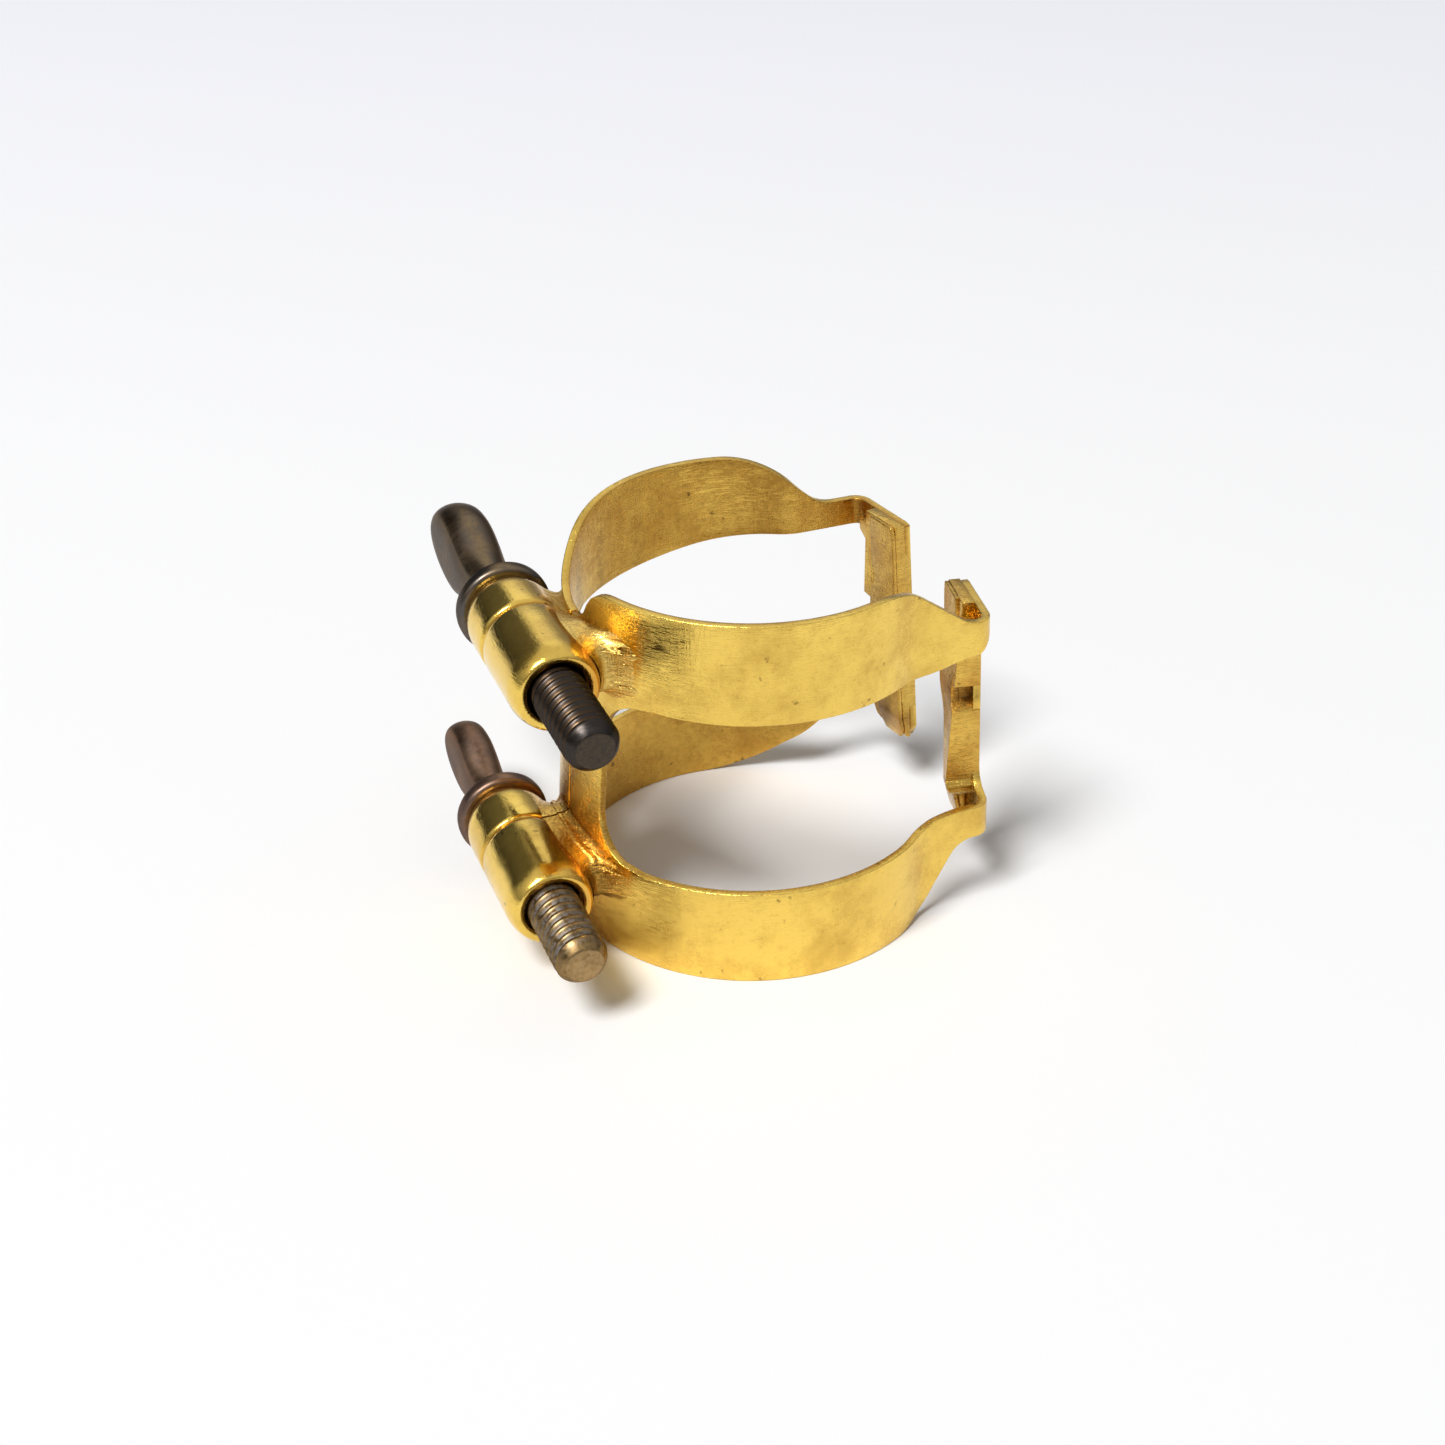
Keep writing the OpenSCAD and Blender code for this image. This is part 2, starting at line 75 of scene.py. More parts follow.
class LigatureBody(bpy.types.PropertyGroup):
    lower_r: length_of("Outer radius of the lower band", 13.2)
    upper_r: length_of("Outer radius of the upper band", 12.3)
    sheet_t: length_of("Thickness of the sheet", 0.55)
    band_h: length_of("Height of each band", 7.0)
    body_h: length_of("Height of the body", 26.2)
    bridge_w: length_of("Half width of the bridge", 4.1)
    bridge_fillet: length_of("Corner radius between bridge and bands", 3.4)
    waist_drop: length_of("How far a band narrows at the screws", 3.1)
    waist_len: length_of("Length over which a band narrows at the screws", 4.8)
    far_waist_len: length_of("Fall of the far top edge towards the screws", 11.0)
    far_waist_end: length_of("Level part of the far top edge at the split", 1.5)
    split_gap: length_of("Gap between the halves", 0.2)
    cheek_y: length_of("Distance from the split to the cheeks", 10.05)
    flare_r: length_of("Radius of the hollow behind a cheek", 3.0)
    bend_r: length_of("Outer radius of the bend at a rail", 1.25)
    bend_x: length_of("Distance from the axis to the bend", 11.7)
    rail_top: length_of("Height of the top of the rails", 22.4)
    rail_foot: length_of("Height of the foot of the rails", 4.5)
    foot_r: length_of("Radius of the lower corners of a rail strip", 1.1)
    neck_z: length_of("Height of the upper edge of the lower neck", 8.0)
    ledge_x: length_of("Where the lower band reaches its neck's height", 12.0)
    ledge_len: length_of("Length over which it rises to that height", 6.0)
    near_rise: length_of("Rise of the near upper band's lower edge", 0.8)
    far_rise: length_of("Rise of the far upper band's lower edge", 1.2)
    reed_gap: length_of("Half of the free width between the rails", 4.27)
    block_w: length_of("Width of a rail block, to which the strip is cut back", 3.3)
    edge_r: length_of("Rounding of the sheet's edges", 0.12)
    slant: angle_of("Slant of a rail in plan", 10.5)
    near_lean: angle_of("Lean of the near rail", 2.9)
    far_lean: angle_of("Lean of the far rail", 4.5)


class LigatureRails(bpy.types.PropertyGroup):
    block_t: length_of("Thickness of a block at its top", 0.8)
    block_cheek_t: length_of("Thickness of a block at its foot, at the bend", 1.9)
    block_foot: length_of("Height of the foot of a block", 7.4)
    lip_h: length_of("Height of the bevelled lip under a block", 1.1)
    groove_d: length_of("Depth of the cross groove", 0.7)
    groove_h: length_of("Height of the cross groove", 1.3)
    groove_drop: length_of("Distance of the groove from the top of the rail", 6.5)
    ear_w: length_of("How far the ear reaches towards the bend", 1.1)
    ear_h: length_of("Height of the ear", 1.9)
    plate_t: length_of("Thickness of the contact plate", 0.3)
    plate_w: length_of("Width of the contact plate", 2.7)
    plate_swell: length_of("Swelling of the contact plate", 0.3)


class LigatureBarrels(bpy.types.PropertyGroup):
    barrel_r: length_of("Outer radius of a barrel", 2.96)
    near_len: length_of("Length of a threaded barrel", 6.9)
    far_len: length_of("Length of a plain barrel", 4.45)
    seam_gap: length_of("Gap between the barrels of a pair", 0.08)
    crown_len: length_of("Length over which a barrel falls off to its mouth", 1.6)
    crown_drop: length_of("How far the mouth is below the full radius", 0.38)
    upper_stand: length_of("Distance of an upper barrel from its band", 0.08)
    lower_stand: length_of("Distance of a lower barrel from its band", 0.3)
    upper_z: length_of("Height of the upper screw axis", 21.47)
    lower_z: length_of("Height of the lower screw axis", 5.39)
    near_bore: length_of("Radius of a threaded bore", 1.83)
    far_bore: length_of("Radius of a plain bore", 1.87)


class LigatureScrews(bpy.types.PropertyGroup):
    thread_r: length_of("Outer radius of the thread", 1.78)
    thread_depth: length_of("Depth of the thread", 0.27)
    pitch: length_of("Pitch of the thread", 0.75)
    upper_tip: length_of("How far the upper screw stands out", 6.95)
    lower_tip: length_of("How far the lower screw stands out", 6.25)
    tip_r: length_of("Radius of the flat end", 1.2)
    tip_cone: length_of("Length of the cone behind the end", 0.8)
    collar_r: length_of("Radius of the collar", 3.16)
    collar_t: length_of("Thickness of the collar", 1.5)
    head_neck_r: length_of("Radius of the neck behind the collar", 1.6)
    upper_head_r: length_of("Largest radius of the upper head", 2.95)
    lower_head_r: length_of("Largest radius of the lower head", 2.55)
    upper_head_len: length_of("Length of the upper head", 12.8)
    lower_head_len: length_of("Length of the lower head", 10.4)
    upper_flat: length_of("Distance between the flats of the upper head", 3.4)
    lower_flat: length_of("Distance between the flats of the lower head", 2.7)
    head_dome: length_of("How far the rim of a head is domed between its flats", 0.12)


class LigatureFinish(bpy.types.PropertyGroup):
    gold: colour_of("Clean gold of the sheet", (0.92, 0.64, 0.135))
    dull_gold: colour_of("Mottled gold of the sheet", (0.60, 0.37, 0.07))
    # Orange tarnishing, also painted as the orange reflection of gold in gold in the hollows by the barrels
    # and solder
    tarnish: colour_of("Orange tarnish inside and by the solder", (0.60, 0.25, 0.03))
    # Dark colour painted as shade in corners, grooves, bores and hollows, and also used for dark seams and
    # grime
    soot: colour_of("Dark tarnish in corners", (0.10, 0.055, 0.018))
    # Paler gold painted on the upper solder as a highlight
    painted_highlight_gold: colour_of("Bright metal of the upper solder", (0.97, 0.80, 0.42))
    dark_bronze: colour_of("Patina of the upper screw", (0.105, 0.092, 0.082))
    red_bronze: colour_of("Patina of the lower screw", (0.150, 0.102, 0.082))
    # The rubbed colours also paint the highlight along the heads' upward-facing rims
    rubbed: colour_of("Bronze where the patina is rubbed off", (0.42, 0.27, 0.11))
    red_rubbed: colour_of("The same on the lower head", (0.50, 0.28, 0.15))
    black_bronze: colour_of("Patina of the upper thread", (0.028, 0.028, 0.031))
    brown_bronze: colour_of("Patina of the lower thread", (0.080, 0.052, 0.024))
    chalk: colour_of("Pale residue in the thread", (0.30, 0.29, 0.28))
    table: colour_of("Colour of the table", (0.965, 0.965, 0.97))
    far_table: colour_of("Colour of the table far behind", (0.93, 0.93, 1.0))


def settings(*names):
    """The named groups of settings in that order, or the one group alone."""
    groups = [getattr(bpy.context.scene, "ligature_" + name) for name in names]
    return groups if len(groups) > 1 else groups[0]


# ---------------------------------------------------------------- shaping helpers

# Points closer together than this, in metres, count as one
WELD = 1e-7
# Sides of a turned tube
TURNED_SIDES = 96


def object_mode():
    """Leaves edit mode and deselects every object."""
    if bpy.context.object and bpy.context.object.mode != "OBJECT":
        bpy.ops.object.mode_set(mode="OBJECT")
    bpy.ops.object.select_all(action="DESELECT")


def take(obj):
    """Selects obj alone, in object mode."""
    object_mode()
    obj.select_set(True)
    bpy.context.view_layer.objects.active = obj


def edit(obj):
    """Opens obj alone in edit mode with everything selected."""
    take(obj)
    bpy.ops.object.mode_set(mode="EDIT")
    bpy.ops.mesh.select_all(action="SELECT")


def select_rims():
    """Selects only the open edges of the mesh in edit mode."""
    bpy.ops.mesh.select_all(action="DESELECT")
    bpy.ops.mesh.select_non_manifold(
        extend=False, use_boundary=True, use_wire=False, use_multi_face=False,
        use_non_contiguous=False, use_verts=False
    )


def face_outwards():
    """Turns every face of the mesh in edit mode outwards, and leaves edit mode."""
    bpy.ops.mesh.select_all(action="SELECT")
    bpy.ops.mesh.normals_make_consistent(inside=False)
    object_mode()


def apply_all(obj):
    """Applies every modifier of obj in order."""
    take(obj)
    for m in list(obj.modifiers):
        bpy.ops.object.modifier_apply(modifier=m.name)


def settle(obj, angle):
    """Puts obj's place into its mesh and shades it smooth except at edges sharper than angle."""
    take(obj)
    bpy.ops.object.transform_apply(location=True, rotation=True, scale=True)
    bpy.ops.object.shade_smooth_by_angle(angle=math.radians(angle))


def new_grid(name, columns, rows):
    """A grid of columns by rows faces, and the column and row of each vertex."""
    object_mode()
    bpy.ops.mesh.primitive_grid_add(x_subdivisions=columns, y_subdivisions=rows, size=1)
    obj = bpy.context.object
    obj.name = obj.data.name = name
    return obj, {v.index: (round((v.co.x + 0.5) * columns), round((v.co.y + 0.5) * rows))
                 for v in obj.data.vertices}


def turned(name, profile, x, z):
    """A tube turned about an axis along Y through x and z, from a closed loop of points, each a
    radius and a place along the axis."""
    object_mode()
    last_r, last_y = profile[0]
    bpy.ops.mesh.primitive_circle_add(
        vertices=TURNED_SIDES, radius=last_r, location=(x, last_y, z), rotation=(math.pi / 2, 0, 0)
    )
    obj = bpy.context.object
    obj.name = obj.data.name = name
    bpy.ops.object.transform_apply(location=True, rotation=True, scale=True)
    bpy.ops.object.mode_set(mode="EDIT")
    bpy.ops.mesh.select_all(action="SELECT")
    for r, y in profile[1:]:
        bpy.ops.mesh.extrude_region_move(TRANSFORM_OT_translate={"value": (0, y - last_y, 0)})
        if abs(r - last_r) > WELD:
            k = r / last_r
            bpy.ops.transform.resize(value=(k, 1, k), center_override=(x, y, z))
        last_r, last_y = r, y
    bpy.ops.mesh.select_all(action="SELECT")
    bpy.ops.mesh.remove_doubles(threshold=WELD)
    face_outwards()
    return obj


def loft(name, loops):
    """A skin over loops of equally many points, capped at both ends."""
    columns = len(loops[0])
    obj, points = new_grid(name, columns, len(loops) - 1)
    for k, (i, j) in points.items():
        obj.data.vertices[k].co = loops[j][i % columns]
    edit(obj)
    bpy.ops.mesh.remove_doubles(threshold=WELD)
    bpy.ops.mesh.fill_holes(sides=0)
    face_outwards()
    return obj


def rounded(obj, width, angle=25):
    """Applies obj's modifiers and rounds its edges that are sharper than angle."""
    soft = obj.modifiers.new("edges", "BEVEL")
    soft.width = width
    soft.segments = 3
    soft.limit_method = "ANGLE"
    soft.angle_limit = math.radians(angle)
    apply_all(obj)


def falling_s(d, span, drop):
    """Depth of a falling S of two equal arcs at distance d from where it starts."""
    if d <= 0:
        return 0.0
    if d >= span:
        return drop
    r = (span * span + drop * drop) / (4 * drop)
    if d <= span / 2:
        return r - math.sqrt(r * r - d * d)
    e = span - d
    return drop - r + math.sqrt(r * r - e * e)


def ogee(d, drop, r0, r1, slope):
    """Depth at distance d of an edge that bends down with radius r0 to the slope, runs straight
    and bends level again with radius r1."""
    straight = drop - (r0 + r1) * (1 - math.cos(slope))
    end = (r0 + r1) * math.sin(slope) + straight / math.tan(slope)
    if d <= 0:
        return 0.0
    if d >= end:
        return drop
    if d <= r0 * math.sin(slope):
        return r0 - math.sqrt(r0 * r0 - d * d)
    if d >= end - r1 * math.sin(slope):
        return drop - r1 + math.sqrt(r1 * r1 - (end - d) ** 2)
    return r0 * (1 - math.cos(slope)) + (d - r0 * math.sin(slope)) * math.tan(slope)


def mix(a, b, t):
    """The value t of the way from a to b."""
    return a + (b - a) * t


def dress(obj, material, body, replaced, slot):
    """Gives a finished piece its material and its body, and hides the nodes it stands for."""
    obj.data.materials.clear()
    obj.data.materials.append(material)
    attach(obj, body)
    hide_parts(*replaced)


# ---------------------------------------------------------------- materials

def nodes_of(name):
    """A new node material: its tree and its main shader."""
    mat = bpy.data.materials.get(name) or bpy.data.materials.new(name)
    mat.use_nodes = True
    tree = mat.node_tree
    tree.nodes.clear()
    out = tree.nodes.new("ShaderNodeOutputMaterial")
    shader = tree.nodes.new("ShaderNodeBsdfPrincipled")
    tree.links.new(shader.outputs["BSDF"], out.inputs["Surface"])
    return mat, tree, shader


def place_of(tree, stretch=(1, 1, 1)):
    """Object coordinates, stretched."""
    at = tree.nodes.new("ShaderNodeTexCoord")
    turn = tree.nodes.new("ShaderNodeMapping")
    turn.inputs["Scale"].default_value = stretch
    tree.links.new(at.outputs["Object"], turn.inputs["Vector"])
    return turn.outputs["Vector"]


def noise_of(tree, vector, scale, detail, rough):
    """Noise with scale cells to the metre."""
    n = tree.nodes.new("ShaderNodeTexNoise")
    n.inputs["Scale"].default_value = scale
    n.inputs["Detail"].default_value = detail
    n.inputs["Roughness"].default_value = rough
    tree.links.new(vector, n.inputs["Vector"])
    return n.outputs["Fac"]


def spread(tree, value, low, high, to_low=0.0, to_high=1.0):
    """Maps value from low..high to to_low..to_high, clamped."""
    m = tree.nodes.new("ShaderNodeMapRange")
    m.inputs["From Min"].default_value = low
    m.inputs["From Max"].default_value = high
    m.inputs["To Min"].default_value = to_low
    m.inputs["To Max"].default_value = to_high
    tree.links.new(value, m.inputs["Value"])
    return m.outputs["Result"]


def join(tree, how, a, b):
    """Adds or multiplies a and b, each a number or a socket, and keeps the result in 0 to 1."""
    m = tree.nodes.new("ShaderNodeMath")
    m.operation = how
    m.use_clamp = True
    for socket, v in zip(m.inputs, (a, b)):
        if isinstance(v, (int, float)):
            socket.default_value = v
        else:
            tree.links.new(v, socket)
    return m.outputs["Value"]


def blend_colours(tree, share, a, b):
    """Colour a where share is 0 and b where it is 1; each is a colour or a socket."""
    m = tree.nodes.new("ShaderNodeMix")
    m.data_type = "RGBA"
    tree.links.new(share, m.inputs["Factor"])
    colour_in = [s for s in m.inputs if s.type == "RGBA"]
    for socket, v in zip(colour_in, (a, b)):
        if isinstance(v, bpy.types.NodeSocket):
            tree.links.new(v, socket)
        else:
            socket.default_value = (*v, 1)
    return [s for s in m.outputs if s.type == "RGBA"][0]


def dot_of(tree, vector, direction):
    """How far vector points along direction."""
    d = tree.nodes.new("ShaderNodeVectorMath")
    d.operation = "DOT_PRODUCT"
    d.inputs[1].default_value = direction
    tree.links.new(vector, d.inputs[0])
    return d.outputs["Value"]


def between(tree, share, a, b):
    """Value a where share is 0 and b where it is 1."""
    m = tree.nodes.new("ShaderNodeMix")
    for socket, v in zip(m.inputs, (share, None, a, b)):
        if v is not None:
            tree.links.new(v, socket)
    return m.outputs[0]


def mark_of(tree, name):
    """A piece's own painted attribute as a value."""
    a = tree.nodes.new("ShaderNodeAttribute")
    a.attribute_name = name
    return a.outputs["Fac"]


def bump_of(tree, shader, height, strength, distance):
    """Relief on the surface, distance deep in metres where height is 1."""
    b = tree.nodes.new("ShaderNodeBump")
    b.inputs["Strength"].default_value = strength
    b.inputs["Distance"].default_value = distance
    tree.links.new(height, b.inputs["Height"])
    tree.links.new(b.outputs["Normal"], shader.inputs["Normal"])


def gold_finish(name, roughness, scratch, mottling):
    """Worn gold-coloured brass: mottled and finely scratched, with tarnishing, painted orange reflection,
    painted highlight and painted shade where it is marked.
    """
    finish = settings("finish")
    mat, tree, shader = nodes_of(name)
    shader.inputs["Metallic"].default_value = 1.0
    plain = place_of(tree)
    wave = noise_of(tree, plain, 95, 2, 0.5)
    cloud = noise_of(tree, plain, 260, 6, 0.65)
    speck = noise_of(tree, plain, 2300, 4, 0.7)
    around = noise_of(tree, place_of(tree, (1, 1, 14)), 900, 3, 0.6)
    across = noise_of(tree, place_of(tree, (9, 9, 1)), 700, 3, 0.6)
    mottle = spread(tree, cloud, 0.44, 0.66, 0, mottling)
    mottle = join(tree, "ADD", mottle, spread(tree, wave, 0.42, 0.68, 0, 0.4 * mottling))
    fleck = spread(tree, speck, 0.55, 0.72, 0, 0.6 * mottling)
    base = blend_colours(tree, join(tree, "ADD", mottle, fleck), finish.gold, finish.dull_gold)
    # Tarnishing, and painted orange reflection, where marked
    tarnish = join(tree, "MULTIPLY", mark_of(tree, "tarnish"), spread(tree, cloud, 0.3, 0.6, 0.6, 1.0))
    base = blend_colours(tree, tarnish, base, finish.tarnish)
    # Painted highlight: a paler base where marked
    base = blend_colours(tree, mark_of(tree, "bright"), base, finish.painted_highlight_gold)
    # Painted shade and grime where marked, with random pits
    soot = join(tree, "MULTIPLY", mark_of(tree, "soot"), spread(tree, speck, 0.35, 0.6, 0.5, 1.0))
    pits = spread(tree, noise_of(tree, plain, 1300, 2, 0.5), 0.70, 0.76, 0, 0.55)
    base = blend_colours(tree, join(tree, "ADD", soot, pits), base, finish.soot)
    tree.links.new(base, shader.inputs["Base Color"])
    lines = join(tree, "ADD", spread(tree, around, 0.45, 0.75), spread(tree, across, 0.5, 0.8))
    rough = join(tree, "ADD", spread(tree, lines, 0, 1.4, roughness, roughness + 0.10),
                 spread(tree, cloud, 0.4, 0.66, 0, 0.14))
    tree.links.new(rough, shader.inputs["Roughness"])
    relief = join(tree, "ADD", join(tree, "MULTIPLY", lines, 0.35), spread(tree, speck, 0, 1, 0, 0.3))
    tall = join(tree, "ADD", relief, join(tree, "MULTIPLY", wave, 0.9))
    bump_of(tree, shader, tall, scratch, 0.06 * MM)
    return mat


def bronze_finish(name, patina, bare, rub, roughness):
    """Dark patinated bronze, rubbed bright on the high spots, with a painted highlight and painted shade
    where marked.
    """
    finish = settings("finish")
    mat, tree, shader = nodes_of(name)
    shader.inputs["Metallic"].default_value = 1.0
    shader.inputs["Specular Tint"].default_value = (0.55, 0.52, 0.50, 1)
    plain = place_of(tree)
    cloud = noise_of(tree, plain, 420, 5, 0.6)
    speck = noise_of(tree, plain, 2600, 3, 0.7)
    turning = noise_of(tree, place_of(tree, (1, 12, 1)), 700, 3, 0.6)
    worn = join(tree, "MULTIPLY", spread(tree, cloud, 0.45, 0.72), rub)
    # The worn mark: rubbed crests and edges, and on the heads also a painted highlight along the
    # upward-facing rim
    rubbed = join(tree, "MULTIPLY", mark_of(tree, "worn"), spread(tree, speck, 0.3, 0.6, 0.4, 1))
    base = blend_colours(tree, join(tree, "ADD", worn, rubbed), patina, bare)
    chalk = join(tree, "MULTIPLY", mark_of(tree, "chalk"), spread(tree, speck, 0.42, 0.60))
    base = blend_colours(tree, chalk, base, finish.chalk)
    # Painted shade in grooves and corners, darker where marked
    base = blend_colours(tree, mark_of(tree, "soot"), base, finish.soot)
    tree.links.new(base, shader.inputs["Base Color"])
    rough = join(tree, "ADD", spread(tree, turning, 0.35, 0.7, roughness, roughness + 0.12),
                 spread(tree, speck, 0.4, 0.7, 0, 0.08))
    rough = join(tree, "ADD", rough, join(tree, "MULTIPLY", chalk, 0.4))
    tree.links.new(rough, shader.inputs["Roughness"])
    relief = join(tree, "ADD", turning, join(tree, "MULTIPLY", speck, 0.6))
    bump_of(tree, shader, relief, 0.25, 0.02 * MM)
    return mat


def store(obj, name, values):
    """Stores one value for each point of obj."""
    obj.data.attributes.new(name, "FLOAT", "POINT").data.foreach_set("value", values)


def paint(obj, **marks):
    """Stores marks on obj's points, each from a function of place in mm and normal."""
    found = [(v.co / MM, v.normal.copy()) for v in obj.data.vertices]
    for name, rule in marks.items():
        store(obj, name, [min(1.0, max(0.0, rule(p, n))) for p, n in found])


def near_to(value, centre, width):
    """1 at centre, falling smoothly to 0 at width away."""
    t = min(1.0, abs(value - centre) / width)
    return 1 - t * t * (3 - 2 * t)


# ---------------------------------------------------------------- sheet halves

def band_plan(b, z):
    """Outer radius of the round band at height z, x of the axis of the hollow behind it, and the
    angle at which the band turns into the hollow."""
    share = min(1.0, max(0.0, (z - b.band_h) / (b.body_h - 2 * b.band_h)))
    r = mix(b.lower_r, b.upper_r, share)
    hollow_x = math.sqrt((r + b.flare_r) ** 2 - (b.cheek_y + b.flare_r) ** 2)
    return r, hollow_x, math.atan2(b.cheek_y + b.flare_r, hollow_x)


def sheet_point(b, part, t, z, lean):
    """Middle of the sheet in plan, on the positive side: part 0 is the round band, 1 the hollow,
    2 the cheek, 3 the bend and 4 the strip of the rail; t runs along the part."""
    m = b.sheet_t / 2
    r, hollow_x, leave = band_plan(b, z)
    bend_x = b.bend_x + math.tan(lean) * (b.rail_top - z)
    bend_y = b.cheek_y - b.bend_r
    if part == 0:
        a = mix(math.pi - math.asin(b.split_gap / 2 / r), leave, t)
        return (r - m) * math.cos(a), (r - m) * math.sin(a)
    if part == 1:
        a = mix(leave + math.pi, 1.5 * math.pi, t)
        reach = b.flare_r + m
        return hollow_x + reach * math.cos(a), b.cheek_y + b.flare_r + reach * math.sin(a)
    if part == 2:
        return mix(hollow_x, bend_x, t), b.cheek_y - m
    if part == 3:
        a = mix(math.pi / 2, b.slant, t)
        return bend_x + (b.bend_r - m) * math.cos(a), bend_y + (b.bend_r - m) * math.sin(a)
    x0 = bend_x + (b.bend_r - m) * math.cos(b.slant)
    y0 = bend_y + (b.bend_r - m) * math.sin(b.slant)
    run = (y0 - b.reed_gap) / math.cos(b.slant)
    return x0 + t * run * math.sin(b.slant), y0 - t * run * math.cos(b.slant)


# For the near and the far half: where an edge starts to run to its neck, the radii at its start
# and end in mm, and its slope in degrees
TOP_EDGES = ((3.6, 7.0, 2.0, 37), (2.4, 7.0, 2.5, 43))
FOOT_EDGES = ((5.8, 4.0, 2.2, 60), (1.1, 9.0, 2.2, 40))
# Where the lower edge of an upper band starts to rise and over what length, in mm
SILLS = ((7.0, 5.5), (-8.0, 16.0))


def sheet_edges(b, x, y, far):
    """Heights of the four edges of a half at x and y: lower band's foot and top, upper band's
    foot and top."""
    rise = b.far_rise if far else b.near_rise
    top_len = b.far_waist_len if far else b.waist_len
    top_at = top_len + b.far_waist_end if far else b.waist_len

    def fall(edges, drop):
        start, r0, r1, slope = edges[far]
        return ogee(x - start * MM, drop, r0 * MM, r1 * MM, math.radians(slope))

    foot = fall(FOOT_EDGES, b.rail_foot + b.foot_r)
    top = b.body_h - fall(TOP_EDGES, b.body_h - b.rail_top)
    if x < 0:
        foot += falling_s(b.waist_len - y, b.waist_len, b.waist_drop)
        top -= falling_s(top_at - y, top_len, b.waist_drop)
    ledge = b.neck_z - falling_s(b.ledge_x - x, b.ledge_len, b.neck_z - b.band_h)
    start, span = SILLS[far]
    sill = b.body_h - b.band_h + falling_s(x - start * MM, span * MM, rise)
    return foot, ledge, sill, top


# Rounding of the free upper corner of a strip, and rise of the near upper band's lower edge round
# its bend, in mm
TOP_CORNER = 0.1
BEND_RISE = 1.1

# Columns of faces along the bridge and the rest of the round band, then for each part, and rows of
# faces up a band and up the window
BRIDGE_COLUMNS, BAND_COLUMNS = 16, 60
COLUMNS = (BRIDGE_COLUMNS + BAND_COLUMNS, 12, 10, 12, 10)
BAND_ROWS, WINDOW_ROWS = 8, 30


def bridge_share(b, z, in_window):
    """Share of the round band at height z that the bridge takes up, with its filleted corners."""
    r, _, leave = band_plan(b, z)
    edge_y = b.bridge_w + b.bridge_fillet
    if in_window:
        depth = min(z - b.band_h, b.body_h - b.band_h - z)
        if depth < b.bridge_fillet:
            edge_y -= math.sqrt(b.bridge_fillet ** 2 - (b.bridge_fillet - depth) ** 2)
        else:
            edge_y = b.bridge_w
    split = math.asin(b.split_gap / 2 / r)
    return (math.asin(edge_y / r) - split) / (math.pi - split - leave)


def strip_place(b, row, t, level, z, ledge, sill, lean):
    """Share along a rail strip and height of a point: in the window the strip is cut back to its
    block, and its free corners are rounded."""
    long = (sheet_point(b, 4, 0, z, lean)[1] - b.reed_gap) / math.cos(b.slant)
    if row == 1:
        cut = long - b.block_w
        depth = min(z - ledge, sill - z, cut)
        return mix(math.sqrt(max(0, cut ** 2 - (cut - depth) ** 2)) / long, 1, t), z
    if row == 0:
        short = max(0, b.foot_r - min(t, 1 - t) * long)
        lift = b.foot_r - math.sqrt(max(0, b.foot_r ** 2 - short ** 2))
        return t, mix(b.rail_foot + lift, ledge, level)
    corner = TOP_CORNER * MM
    short = corner - min(corner, (1 - t) * long)
    drop = corner - math.sqrt(corner ** 2 - short ** 2)
    return t, mix(sill, b.rail_top - drop, level)


def row_of(j):
    """Which band or window row j of the grid lies in, and the share of the way up it."""
    if j <= BAND_ROWS:
        return 0, j / BAND_ROWS
    if j > BAND_ROWS + WINDOW_ROWS:
        return 2, (j - BAND_ROWS - WINDOW_ROWS) / BAND_ROWS
    level = (j - BAND_ROWS) / WINDOW_ROWS
    # The window's rows lie closer together at its edges
    return 1, (level + 2 * level ** 2 * (1.5 - level)) / 2


def inner_face(p, n):
    """1 on the inside of a half and 0 on its outside."""
    return 1.0 if n.x * p.x + n.y * p.y < 0 else 0.0


# Dark streaks inside the upper bands, as x, width and strength, and the height of the rails' cross
# grooves, in mm
STREAKS = ((-9.6, 0.8, 0.35), (-7.2, 0.6, 0.25), (-4.0, 0.8, 0.15))
GROOVE_Z = 15.3


